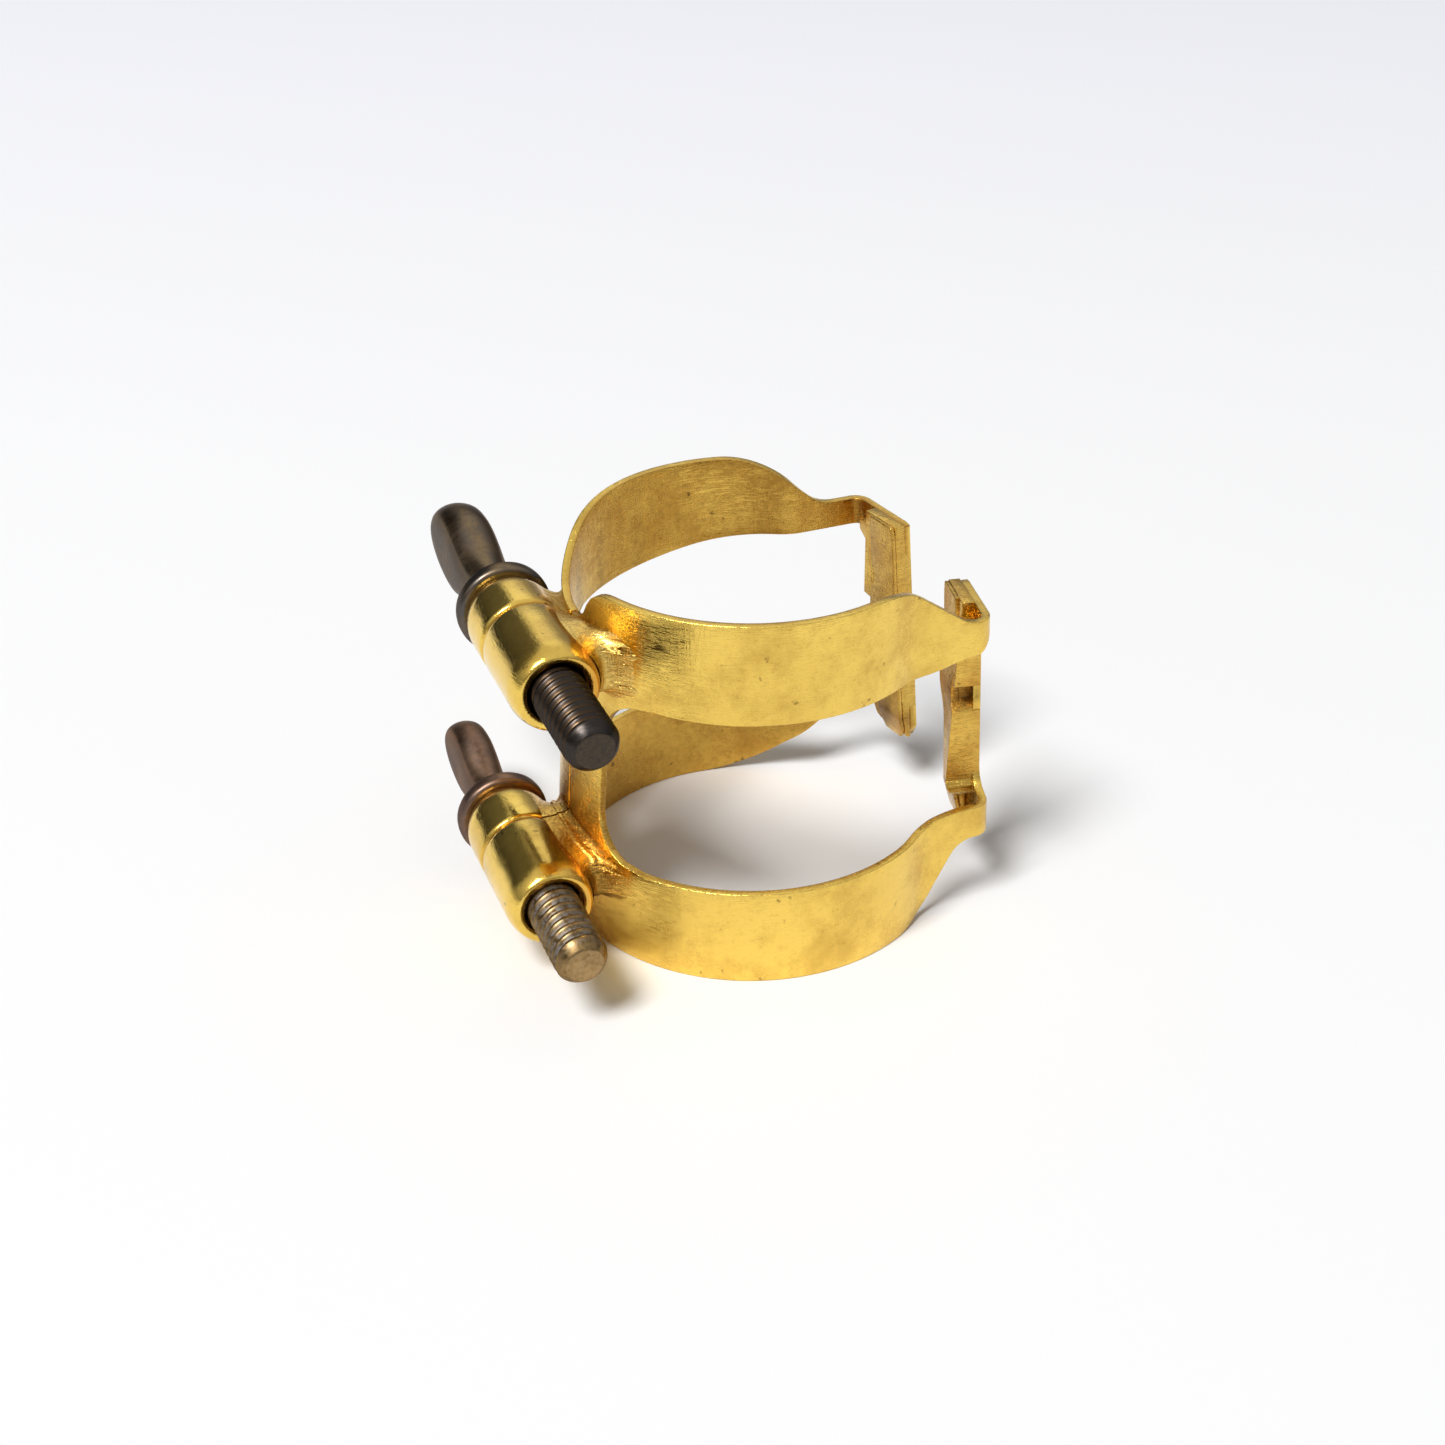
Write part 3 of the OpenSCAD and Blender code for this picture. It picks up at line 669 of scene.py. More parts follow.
def sheet_half(name, far):
    """One bent sheet half with its window, rounded edges, and marks of tarnishing, painted orange reflection
    and painted shade.
    """
    b = settings("body")
    lean = b.far_lean if far else b.near_lean
    obj, points = new_grid(name, sum(COLUMNS), 2 * BAND_ROWS + WINDOW_ROWS)
    starts = [sum(COLUMNS[:k]) for k in range(len(COLUMNS) + 1)]
    plain = (0, b.band_h, b.body_h - b.band_h, b.body_h)
    for k, (i, j) in points.items():
        part = max(p for p in range(len(COLUMNS)) if i >= starts[p])
        t = (i - starts[part]) / COLUMNS[part]
        row, level = row_of(j)
        nominal = mix(plain[row], plain[row + 1], level)
        if part == 0:
            edge_t = bridge_share(b, nominal, row == 1)
            if i <= BRIDGE_COLUMNS:
                t = edge_t * i / BRIDGE_COLUMNS
            else:
                t = mix(edge_t, 1, (i - BRIDGE_COLUMNS) / BAND_COLUMNS)
        x, y = sheet_point(b, part, t, nominal, lean)
        foot, ledge, sill, top = sheet_edges(b, x, y, far)
        if part >= 3 and not far:
            sill += BEND_RISE * MM * (t * t * (3 - 2 * t) if part == 3 else 1)
        edges = (foot, ledge, sill, top)
        z = mix(edges[row], edges[row + 1], level)
        if part == 4:
            t, z = strip_place(b, row, t, level, z, ledge, sill, lean)
        x, y = sheet_point(b, part, t, z, lean)
        obj.data.vertices[k].co = (x, y if far else -y, z)
    edit(obj)
    bpy.ops.mesh.select_all(action="DESELECT")
    take(obj)
    for f in obj.data.polygons:
        corners = [points[k] for k in f.vertices]
        i, j = min(c[0] for c in corners), min(c[1] for c in corners)
        f.select = BRIDGE_COLUMNS <= i < starts[4] and BAND_ROWS <= j < BAND_ROWS + WINDOW_ROWS
    bpy.ops.object.mode_set(mode="EDIT")
    bpy.ops.mesh.select_mode(type="FACE")
    bpy.ops.mesh.delete(type="FACE")
    bpy.ops.mesh.select_mode(type="VERT")
    face_outwards()
    wall = obj.modifiers.new("wall", "SOLIDIFY")
    wall.thickness = b.sheet_t
    wall.offset = 0
    rounded(obj, b.edge_r, 60)
    edit(obj)
    face_outwards()
    settle(obj, 45)

    # Tarnishing over the whole inside, and painted orange reflection in the valley by the barrels, stronger
    # towards the bottom; near the rail bends it is raised, except inside the near half, where it is lowered
    def tarnished(p, n):
        valley = near_to(p.x, -13, 4.5) * near_to(abs(p.y), 0, 9)
        corner = near_to(p.x, 13.2, 3.2) * (0.10 + (0.3 if far else -0.4) * inner_face(p, n))
        low = 0.25 + 0.75 * near_to(p.z, 5, 9)
        return 0.36 * inner_face(p, n) + 0.85 * valley * low + corner

    # Painted shade: over the whole inside, deeper towards the rail bends, in the rails' cross groove behind
    # the strip and a little on the bridge, with dark vertical streaks high inside the upper bands
    def sooty(p, n):
        inside = inner_face(p, n)
        streaks = sum(dark * near_to(p.x, x, width) for x, width, dark in STREAKS)
        groove = 0.7 * near_to(p.z, GROOVE_Z, 0.8) if p.x > 12.6 and abs(p.y) > 6.9 else 0
        return groove + (0.27 + streaks * near_to(p.z, 21, 5)) * inside \
            + 0.25 * near_to(p.x, 13, 1.8) * inside + 0.12 * near_to(p.x, -11.8, 2) * near_to(p.z, 13, 9)

    paint(obj, tarnish=tarnished, soot=sooty)
    return obj


class LIGATURE_OT_sheet_halves(bpy.types.Operator):
    """Build the two bent sheet halves"""

    bl_idname = "ligature.sheet_halves"
    bl_label = "Sheet Halves"

    def execute(self, context):
        metal = gold_finish("satin_gold_sheet", 0.17, 0.5, 0.58)
        for side, far in (("near", False), ("far", True)):
            obj = sheet_half(side + "_sheet", far)
            dress(obj, metal, side + "_half", [side + "_body_half"], "sheet_gold")
        return {"FINISHED"}


# ---------------------------------------------------------------- barrels

# In mm. Edge at the seam: how far within the full radius and how far from the seam
SEAM_EDGE = ((0.42, 0.0), (0.24, 0.03), (0.11, 0.1), (0.03, 0.24), (0.0, 0.42))
# Lip and countersink of the mouth: how far outside the crown's end or the bore, and how far from
# the mouth
MOUTH_LIP = ((0.03, 0.12), (-0.04, 0.04), (-0.14, 0.005), (-0.26, 0.01))
COUNTERSINK = ((0.26, 0.06), (0.2, 0.16), (0.02, 0.5), (0.0, 0.8))
CROWN_STEPS = 8


def crowned(radius, end, span, drop):
    """Points of an edge that falls off over span by drop at end."""
    r = (span * span + drop * drop) / (2 * drop)
    full = math.asin(span / r)
    angles = [full * k / CROWN_STEPS for k in range(CROWN_STEPS + 1)]
    return [(radius - r + r * math.cos(a), end - (span - r * math.sin(a))) for a in angles]


def barrel(name, x, z, near):
    """One tube with a crowned, rounded and countersunk mouth."""
    s = settings("barrels")
    side = -1 if near else 1
    long = s.near_len if near else s.far_len
    bore = s.near_bore if near else s.far_bore
    seam = s.seam_gap / 2
    seam_end = seam + SEAM_EDGE[-1][1] * MM
    lip = s.barrel_r - s.crown_drop
    profile = [(bore, seam)]
    profile += [(s.barrel_r - within * MM, seam + off * MM) for within, off in SEAM_EDGE]
    profile += [(s.barrel_r, mix(seam_end, long - s.crown_len, k / 3)) for k in (1, 2)]
    profile += crowned(s.barrel_r, long, s.crown_len, s.crown_drop)[:-1]
    profile += [(lip + wide * MM, long - off * MM) for wide, off in MOUTH_LIP]
    profile += [(bore + wide * MM, long - off * MM) for wide, off in COUNTERSINK]
    profile.append((bore, seam))
    obj = turned(name, [(r, side * y) for r, y in profile], x, z)
    settle(obj, 50)

    # Painted orange reflection on the side of the barrel that faces the band, and tarnishing in the seam
    def tarnished(p, _):
        return 0.8 * near_to(p.x, x / MM + 2.6, 2.4) + 0.45 * near_to(p.y, 0, 0.35)

    # Painted shade inside the bore, and a dark line along the seam
    def sooty(p, _):
        r = math.hypot(p.x - x / MM, p.z - z / MM)
        return (0.75 if r < bore / MM + 0.16 else 0.0) + 0.5 * near_to(p.y, 0, 0.12)

    paint(obj, tarnish=tarnished, soot=sooty)
    return obj


def screw_axes():
    """Name, x and z of the two screw axes, and the outer radius of the band behind each."""
    b, s = settings("body", "barrels")
    return (("upper", -(b.upper_r + s.upper_stand + s.barrel_r), s.upper_z, b.upper_r),
            ("lower", -(b.lower_r + s.lower_stand + s.barrel_r), s.lower_z, b.lower_r))


class LIGATURE_OT_barrels(bpy.types.Operator):
    """Build the threaded and the plain barrels"""

    bl_idname = "ligature.barrels"
    bl_label = "Barrels"

    def execute(self, context):
        metal = gold_finish("polished_barrel_gold", 0.05, 0.25, 0.5)
        for level, x, z, _ in screw_axes():
            for side, kind in (("near", "threaded"), ("far", "plain")):
                obj = barrel(f"{level}_{kind}_tube", x, z, side == "near")
                dress(obj, metal, side + "_half", [f"{level}_{kind}_barrel"], "barrel_gold")
        return {"FINISHED"}


# ---------------------------------------------------------------- solder

# Steps over the visible arc of the solder and back behind it, and rows round the joint
SOLDER_ARC, SOLDER_BACK, SOLDER_ROWS = 28, 4, 96
# Height above and below the axis at which the solder ends on the band, in mm
SOLDER_REACH = {"upper": (1.45, 2.9), "lower": (2.9, 2.1)}


def solder(name, x, z, band_r, near, above, below):
    """The hollow fillet of solder that runs over, round and under the joint of barrel and band."""
    b, s = settings("body", "barrels")
    long = s.near_len if near else s.far_len
    is_low = z < 0.5 * b.body_h
    square = 0.8 if is_low else 0.5
    rise = 0 if is_low else (1.9 if near else 0.3) * MM
    hold = math.radians(60)
    start_y = b.split_gap / 2
    on_barrel, on_band = long - 0.7 * MM, long + (1.3 if near else 0.9) * MM
    band_end_x = -math.sqrt(band_r ** 2 - on_band ** 2)
    barrel_x = x + s.barrel_r
    apex_y = 0.9 * (on_band - (band_end_x - barrel_x) * -band_end_x / on_band)
    obj, points = new_grid(name, SOLDER_ARC + SOLDER_BACK, SOLDER_ROWS)
    for k, (i, j) in points.items():
        a = math.pi * j / SOLDER_ROWS
        up = math.copysign(abs(math.cos(a)) ** square, math.cos(a))
        out = abs(math.sin(a)) ** square
        tall = above + rise * min(1, 1.3 * out) if up > 0 else below
        y = mix(start_y, on_barrel, out)
        r = s.barrel_r - 0.05 * MM
        from_barrel = Vector((x + r * math.cos(up * hold), y, z + r * math.sin(up * hold)))
        y = mix(start_y, on_band, out)
        from_band = Vector((-math.sqrt(band_r ** 2 - y * y) + 0.06 * MM, y,
                            z + up * tall * mix(1, 0.8, out)))
        y = mix(start_y, apex_y, out)
        valley_x = mix(barrel_x, -math.sqrt(band_r ** 2 - y * y), 0.4)
        corner = Vector((mix(-band_r, valley_x, out), y,
                         z + up * min(0.95 * tall, 2.4 * MM if up > 0 else 1.6 * MM)))
        corner.x += 0.12 * MM * math.sin(9 * a) + 0.08 * MM * math.sin(23 * a)
        deep = Vector((barrel_x + 0.1 * MM, start_y, z + up * 0.3 * MM))
        if i <= SOLDER_ARC:
            t = i / SOLDER_ARC
            place = from_barrel * (1 - t) ** 2 + corner * 2 * t * (1 - t) + from_band * t * t
            if is_low:  # the ridge between the two runs of solder
                away = ((from_barrel + from_band) / 2 - corner).normalized()
                place += away * 0.22 * MM * near_to(t, 0.45, 0.10) * (1 - out ** 8)
        else:
            t = (i - SOLDER_ARC) / SOLDER_BACK
            place = from_band * (1 - t) ** 2 + deep * 2 * t * (1 - t) + from_barrel * t * t
        obj.data.vertices[k].co = (place.x, -place.y if near else place.y, place.z)
    edit(obj)
    bpy.ops.mesh.remove_doubles(threshold=WELD)
    select_rims()
    bpy.ops.mesh.fill_holes(sides=0)
    face_outwards()
    settle(obj, 50)
    valley = barrel_x / MM

    # Painted orange reflection in the valley between barrel and band, strongest on the lower saddles
    def tarnished(p, _):
        strong, wide = (1.0, 4.2) if is_low else (0.35, 4.0)
        return strong * near_to(p.x, valley + 0.6, wide) * near_to(abs(p.y), 3.2, 6.5)

    # Painted shade in the valley towards the band's end
    def sooty(p, _):
        dark = 0.6 if is_low else 0.3
        return dark * near_to(p.x, valley + 0.6, 1.8) * near_to(abs(p.y), 5.5, 3)

    # The upper saddles get a paler base as a painted highlight
    paint(obj, tarnish=tarnished, soot=sooty, bright=lambda *_: 0.0 if is_low else 0.12)
    return obj


class LIGATURE_OT_solder(bpy.types.Operator):
    """Build the four solder saddles"""

    bl_idname = "ligature.solder"
    bl_label = "Solder"

    def execute(self, context):
        metal = gold_finish("tarnished_solder", 0.15, 1.0, 0.4)
        for level, x, z, band_r in screw_axes():
            above, below = SOLDER_REACH[level]
            for side in ("near", "far"):
                obj = solder(f"{level}_{side}_saddle", x, z, band_r, side == "near", above * MM, below * MM)
                dress(obj, metal, side + "_half", [f"{level}_{side}_solder"], "solder")
        return {"FINISHED"}


# ---------------------------------------------------------------- rails

def rail_frame(b, lean, far):
    """Turns depth from the strip's outer face, place along the strip and height into a place; and
    the strip's length."""
    start_y = b.cheek_y - b.bend_r + b.bend_r * math.sin(b.slant)

    def place(depth, along, z):
        start_x = b.bend_x + math.tan(lean) * (b.rail_top - z) + b.bend_r * math.cos(b.slant)
        y = start_y - along * math.cos(b.slant) - depth * math.sin(b.slant)
        return Vector((start_x + along * math.sin(b.slant) - depth * math.cos(b.slant), y if far else -y, z))

    return place, (start_y - b.reed_gap) / math.cos(b.slant)


# In mm: height at which the contact plate bends back, how far it ends above the strip's foot, how
# far a block overlaps the strip's edge, and how far its lip stands out further
KNEE_Z = 6.6
PLATE_SHORT = 0.3
OVERLAP = 0.12
LIP_OUT = 0.28
# Longest face of a rail block in height, in mm
BLOCK_STEP = 0.7


def rail_block(name, lean, far):
    """The bar of a rail with its cross groove, bevelled lip, ear and the thin tongue below it."""
    b, r = settings("body", "rails")
    place, long = rail_frame(b, lean, far)
    back, start = b.sheet_t - 0.03 * MM, long - b.block_w
    window_top = b.body_h - b.band_h + (b.far_rise if far else b.near_rise + BEND_RISE * MM)
    seat = long - r.plate_w + 0.4 * MM
    lip_top = r.block_foot + r.lip_h
    slope = 0.12 * MM
    groove_top = b.rail_top - r.groove_drop
    groove_foot = groove_top - r.groove_h
    # Height, share of the groove's depth, share of the thickness, share of the lip's overhang
    turns = ((r.block_foot, 0, 0.6, 0), (r.block_foot + 0.4 * MM, 0, 0.9, 1),
             (lip_top - 0.3 * MM, 0, 1, 1), (lip_top + 0.1 * MM, 0, 1, 0),
             (groove_foot - 0.5 * MM, 0, 1, 0), (groove_foot + slope, 1, 1, 0),
             (groove_top - slope, 1, 1, 0), (groove_top + slope, 0, 1, 0), (b.rail_top, 0, 1, 0))
    levels = [turns[0]]
    for one, two in zip(turns, turns[1:]):
        steps = max(1, round((two[0] - one[0]) / (BLOCK_STEP * MM)))
        levels += [[mix(p, q, k / steps) for p, q in zip(one, two)] for k in range(1, steps + 1)]
    loops = []
    for z, groove, share, lip in levels:
        down = min(1, (b.rail_top - z) / (b.rail_top - lip_top))
        cheek = b.sheet_t + mix(r.block_t, r.block_cheek_t, down) * share
        face = b.sheet_t + (r.block_t - 0.05 * MM) * share
        at_seat = mix(cheek, b.sheet_t + r.block_t * share, (seat - start) / b.block_w)
        first = start - OVERLAP * MM + groove * (r.groove_d + 0.15 * MM) - lip * LIP_OUT * MM
        rear = 0.04 * MM if z < window_top - 0.2 * MM else back
        end = long - 0.02 * MM
        section = [(rear, first), (mix(cheek, at_seat, groove * r.groove_d / (seat - start)), first),
                   (at_seat, seat), (face, seat + 0.04 * MM), (face, end), (rear, end)]
        loops.append([place(depth, along, z) for depth, along in section])
    bar = loft(name, loops)
    rounded(bar, 0.17 * MM)
    ear_top = b.rail_top - 0.9 * MM
    ear = [(start + 0.4 * MM, ear_top), (start - r.ear_w, ear_top), (start - r.ear_w, ear_top - r.ear_h / 2),
           (start, ear_top - r.ear_h), (start + 0.4 * MM, ear_top - r.ear_h)]
    ear = loft(name + "_ear", [[place(depth, along, z) for along, z in ear]
                               for depth in (back, b.sheet_t + r.block_t)])
    rounded(ear, 0.15 * MM)
    # Thickness of the tongue in mm, and height
    tongue = [(0.7, r.block_foot + 0.5 * MM), (0.7, KNEE_Z * MM), (0.36, b.rail_foot + PLATE_SHORT * MM)]
    side, end = long - 2.1 * MM, long - 0.04 * MM
    tongue = loft(name + "_tongue", [
        [place(back, side, z), place(b.sheet_t + thick * MM, side, z),
         place(b.sheet_t + thick * MM, end, z), place(back, end, z)] for thick, z in tongue])
    rounded(tongue, 0.16 * MM)
    object_mode()
    for part in (ear, tongue, bar):
        part.select_set(True)
    bpy.context.view_layer.objects.active = bar
    bpy.ops.object.join()
    settle(bar, 50)
    return bar


def contact_plate(name, lean, far):
    """The thin bent plate that lies on the reed, swollen at the cross groove."""
    b, r = settings("body", "rails")
    place, long = rail_frame(b, lean, far)
    seat = b.sheet_t + r.block_t - 0.05 * MM
    foot, knee = b.rail_foot + PLATE_SHORT * MM, KNEE_Z * MM
    middle = b.rail_top - r.groove_drop - r.groove_h / 2
    heights = [foot, mix(foot, knee, 0.5), knee - 0.3 * MM, knee, knee + 0.3 * MM]
    heights += [mix(knee + 0.6 * MM, b.rail_top - 0.15 * MM, k / 24) for k in range(25)] + [b.rail_top]
    loops = []
    for z in heights:
        bend = min(0, z - knee) / (knee - foot) * (seat - b.sheet_t - 0.4 * MM)
        reach = 3.4 * MM if z < middle else 2.6 * MM
        swell = r.plate_swell * near_to(z, middle, reach)
        inner, outer = seat + bend, seat + bend + r.plate_t + swell
        narrow = 0.45 * MM * near_to(z, foot, 1.1 * MM) + 0.12 * MM * near_to(z, b.rail_top, 0.4 * MM)
        first, last = long - r.plate_w + narrow, long - narrow
        loops.append([place(depth, along, z) for depth, along in (
            (inner, first), (outer, first), (outer, last), (inner, last))])
    obj = loft(name, loops)
    rounded(obj, 0.08 * MM, 40)
    settle(obj, 50)
    return obj


def rail_tarnish(p, _):
    """Tarnishing of the rails all over, deepened at the cross groove and at the foot as painted shade."""
    return 0.36 + 0.4 * near_to(p.z, GROOVE_Z, 1.6) + 0.45 * near_to(p.z, 6.3, 1.6)


def rail_soot(p, _):
    """Darkening of the rails: painted shade in the cross groove, beside the plate and at the foot, over a
    slight even darkening.
    """
    in_groove = 1.0 if 14.4 < p.z < 15.95 and 6.6 < abs(p.y) < 7.2 else 0.0
    return 0.12 + in_groove + 0.45 * near_to(abs(p.y), 6.5, 0.12) + 0.35 * near_to(p.z, 6.4, 1.4)


class LIGATURE_OT_rails(bpy.types.Operator):
    """Build the rail blocks and their contact plates"""

    bl_idname = "ligature.rails"
    bl_label = "Rails"

    def execute(self, context):
        metal = gold_finish("rail_gold_finish", 0.14, 0.9, 0.8)
        b = settings("body")
        for side, lean, far in (("near", b.near_lean, False), ("far", b.far_lean, True)):
            for kind, build in (("rail_block", rail_block), ("contact_plate", contact_plate)):
                obj = build(f"{side}_{kind}_tarnished_and_shaded", lean, far)
                paint(obj, tarnish=rail_tarnish, soot=rail_soot)
                dress(obj, metal, side + "_half", [f"{side}_{kind}"], "rail_gold")
        return {"FINISHED"}


# ---------------------------------------------------------------- thumb screws

# Sides of a shank and rows to each turn of its thread
SHANK_SIDES, PITCH_ROWS = 72, 10


def threaded_shank(name, x, z, tip_y):
    """The threaded shank with its flat end, from tip_y to the collar."""
    s, t = settings("barrels", "screws")
    rows = math.ceil((s.far_len - tip_y) / (t.pitch / PITCH_ROWS))
    obj, points = new_grid(name, SHANK_SIDES, rows)
    crest = [0.0] * len(points)
    for k, (i, j) in points.items():
        turn = 2 * math.pi * i / SHANK_SIDES
        y = tip_y + (s.far_len - tip_y) * j / rows
        phase = (y / t.pitch - turn / (2 * math.pi)) % 1.0
        ridge = (0.5 - 0.5 * math.cos(2 * math.pi * phase)) ** 0.8
        # The thread runs out at the tip and at the plain barrel
        cover = min(1, max(0, (y - tip_y - 0.25 * MM) / (0.9 * MM))) * min(1, max(0, (0 - y) / (0.5 * MM)))
        r = t.thread_r - t.thread_depth * (1 - ridge) * cover
        cone = (y - tip_y) / t.tip_cone
        if cone < 1:
            r = min(r, mix(t.tip_r, t.thread_r, 1 - (1 - cone) ** 1.4))
        obj.data.vertices[k].co = (x + r * math.sin(turn), y, z + r * math.cos(turn))
        crest[k] = ridge * cover + (1 - cover)
    store(obj, "crest", crest)
    edit(obj)
    bpy.ops.mesh.remove_doubles(threshold=WELD)
    select_rims()
    bpy.ops.mesh.edge_face_add()
    take(obj)
    for f in obj.data.polygons:
        f.select = len(f.vertices) > 8 and f.center.y < tip_y + 0.1 * MM
    bpy.ops.object.mode_set(mode="EDIT")
    bpy.ops.mesh.inset(thickness=0.16 * MM, depth=0.0)
    bpy.ops.mesh.inset(thickness=0.3 * MM, depth=-0.03 * MM)
    face_outwards()
    settle(obj, 60)
    return obj


def paint_thread(shank, level, tip_y):
    """Marks the rubbed crests, the chalk and the painted shade in the grooves, and the flat end of a thread.
    """
    marks = {"worn": [], "chalk": [], "soot": []}
    for v, crest in zip(shank.data.vertices, shank.data.attributes["crest"].data):
        c, at_tip = crest.value, v.co.y < tip_y + 0.05 * MM
        # Each gives worn crests and tip, chalk, and painted shade darkening the grooves
        if level == "upper":
            found = (0.12 if at_tip else 0.05 * c ** 6, 0.0, 0.7 * (1 - c))
        else:
            found = (0.85 if at_tip else 0.6 * c ** 2, 0.1 if at_tip else 0.9 * (1 - c),
                     0.25 * near_to(c, 0.0, 0.35))
        for values, value in zip(marks.values(), found):
            values.append(value)
    for name, values in marks.items():
        store(shank, name, values)


# Rounding of the collar's front and back edge, in mm
COLLAR_FRONT, COLLAR_BACK = 0.35, 0.75
# Share of a head's length at which it is widest, steps up to there and on to its end, its sides,
# and how crisp the edges of its flats are
HEAD_WIDEST, HEAD_STEPS, HEAD_SIDES, HEAD_CRISP = 0.58, 24, 128, 8


def screw_head(name, x, z, head_r, head_len, flat):
    """Collar and turned head with two softly edged flats."""
    s, t = settings("barrels", "screws")
    start, back = s.far_len, s.far_len + t.collar_t
    front_r, back_r = COLLAR_FRONT * MM, COLLAR_BACK * MM
    widest = HEAD_WIDEST * head_len
    neck_r = min(t.head_neck_r, flat / 2)
    head_y = back + 0.1 * MM
    bore_r = t.thread_r - 0.3 * MM
    profile = [(bore_r, start - 0.2 * MM), (bore_r, start), (t.collar_r - front_r, start)]
    profile += [(t.collar_r - front_r * (1 - math.sin(a)), start + front_r * (1 - math.cos(a)))
                for a in (math.pi / 8 * k for k in (1, 2, 3, 4))]
    profile += [(t.collar_r - back_r * (1 - math.cos(a)), back - back_r * (1 - math.sin(a)))
                for a in (math.pi / 10 * k for k in (0, 1, 2, 3, 4, 5))]
    profile += [(neck_r + 0.35 * MM, back + 0.02 * MM), (neck_r + 0.12 * MM, head_y)]
    for k in range(1, HEAD_STEPS + 1):
        u = k / HEAD_STEPS
        profile.append((neck_r + (head_r - neck_r) * math.sin(math.pi / 2 * u) ** 3.5, head_y + widest * u))
    for k in range(1, HEAD_STEPS + 1):
        a = math.pi / 2 * k / (HEAD_STEPS + 0.3)  # stops just short of the pole, which is capped
        profile.append((head_r * math.cos(a), head_y + widest + (head_len - widest - 0.1 * MM) * math.sin(a)))
    loops = []
    for radius, y in profile:
        milled = min(1, max(0, (y - head_y) / (1.2 * MM)))
        half = mix(3 * head_r, flat / 2, math.sqrt(milled))
        loop = []
        for k in range(HEAD_SIDES):
            a = 2 * math.pi * k / HEAD_SIDES
            slab = half / max(1e-3, abs(math.cos(a)))
            aside = min(1, radius / slab)
            r = radius - t.head_dome * milled * (radius / head_r) * aside ** 2
            r *= (1 + (r / slab) ** HEAD_CRISP) ** (-1 / HEAD_CRISP)
            loop.append(Vector((x + r * math.cos(a), y, z + r * math.sin(a))))
        loops.append(loop)
    obj = loft(name, loops)
    settle(obj, 50)
    return obj


def paint_head(head, collar_end):
    """Marks the rubbed edges of a head, a painted highlight along its upward-facing rim, and painted shade in
    the corner at its collar, which ends at collar_end, and along the edges of its flats.
    """
    # Rubbed edges of the flats, and a painted highlight where the rim faces up
    def worn(p, n):
        return 0.25 * near_to(abs(n.x), 0.8, 0.3) * (1 if p.y > collar_end else 0) \
            + 0.4 * max(0.0, n.z) * near_to(n.x, 0.0, 0.5)

    # Painted shade in the corner at the collar and along the edges of the flats
    def sooty(p, n):
        rim = 0.5 * near_to(abs(n.x), 0.55, 0.35) if p.y > collar_end + 0.5 else 0
        return 0.6 * near_to(p.y, collar_end + 0.2, 0.7) + rim

    paint(head, worn=worn, chalk=lambda *_: 0.0, soot=sooty)


class LIGATURE_OT_thumb_screws(bpy.types.Operator):
    """Build the two thumb screws"""

    bl_idname = "ligature.thumb_screws"
    bl_label = "Thumb Screws"

    def execute(self, context):
        s, t, finish = settings("barrels", "screws", "finish")
        looks = {
            "upper": (bronze_finish("dark_bronze_head", finish.dark_bronze, finish.rubbed, 0.25, 0.24),
                      bronze_finish("dark_bronze_thread", finish.black_bronze, finish.rubbed, 0.03, 0.22),
                      t.upper_head_r, t.upper_head_len, t.upper_flat, t.upper_tip, "dark_bronze"),
            "lower": (bronze_finish("red_bronze_head", finish.red_bronze, finish.red_rubbed, 0.35, 0.30),
                      bronze_finish("red_bronze_thread", finish.brown_bronze, finish.rubbed, 0.30, 0.26),
                      t.lower_head_r, t.lower_head_len, t.lower_flat, t.lower_tip, "red_bronze"),
        }
        for level, x, z, _ in screw_axes():
            head_look, thread_look, head_r, head_len, flat, tip, slot = looks[level]
            body, node, tip_y = level + "_screw", [level + "_thumb_screw"], -s.near_len - tip
            head = screw_head(level + "_screw_head", x, z, head_r, head_len, flat)
            paint_head(head, (s.far_len + t.collar_t) / MM)
            dress(head, head_look, body, node, slot)
            shank = threaded_shank(level + "_screw_thread", x, z, tip_y)
            paint_thread(shank, level, tip_y)
            dress(shank, thread_look, body, node, slot)
        return {"FINISHED"}


# ---------------------------------------------------------------- stage

# The camera: the point it looks at in mm, where it stands round and above it and its roll in
# degrees, its distance in mm, and its focal length and the frame's side in pixels
AIM = (-1.971, 0, 12.349)
AROUND, ABOVE, ROLL = -21.377, 31.833, -0.438
DISTANCE = 141.43
FOCAL_LENGTH, FRAME_SIDE = 2082.08, 1445
SENSOR_WIDTH = 36

# The lamp: its place and the point it shines at in metres, its side in metres and its power in watts
LAMP_PLACE, LAMP_AIM, LAMP_SIDE, LAMP_POWER = (-1.2, -0.69, 2.2), (0, 0, 0.01), 0.85, 63


def key_lamp():
    """The one soft lamp."""
    object_mode()
    bpy.ops.object.light_add(type="AREA", location=LAMP_PLACE)
    obj = bpy.context.object
    obj.name = "key_lamp"
    obj.data.shape = "RECTANGLE"
    obj.data.size = obj.data.size_y = LAMP_SIDE
    obj.data.energy = LAMP_POWER
    obj.rotation_euler = (Vector(LAMP_AIM) - Vector(LAMP_PLACE)).to_track_quat("-Z", "Y").to_euler()


def pale_table():
    """The table, a little bluer far behind the object."""
    finish = settings("finish")
    object_mode()
    bpy.ops.mesh.primitive_plane_add(size=2.4, location=(0, 0, -0.02 * MM))
    table = bpy.context.object
    table.name = "table"
    mat, tree, shader = nodes_of("pale_table")
    shader.inputs["Roughness"].default_value = 0.85
    shader.inputs["Specular IOR Level"].default_value = 0.1
    depth = dot_of(tree, place_of(tree), (0.36, 0.93, 0))
    shade = spread(tree, depth, 0.07, 0.32)
    tree.links.new(blend_colours(tree, shade, finish.table, finish.far_table), shader.inputs["Base Color"])
    table.data.materials.append(mat)


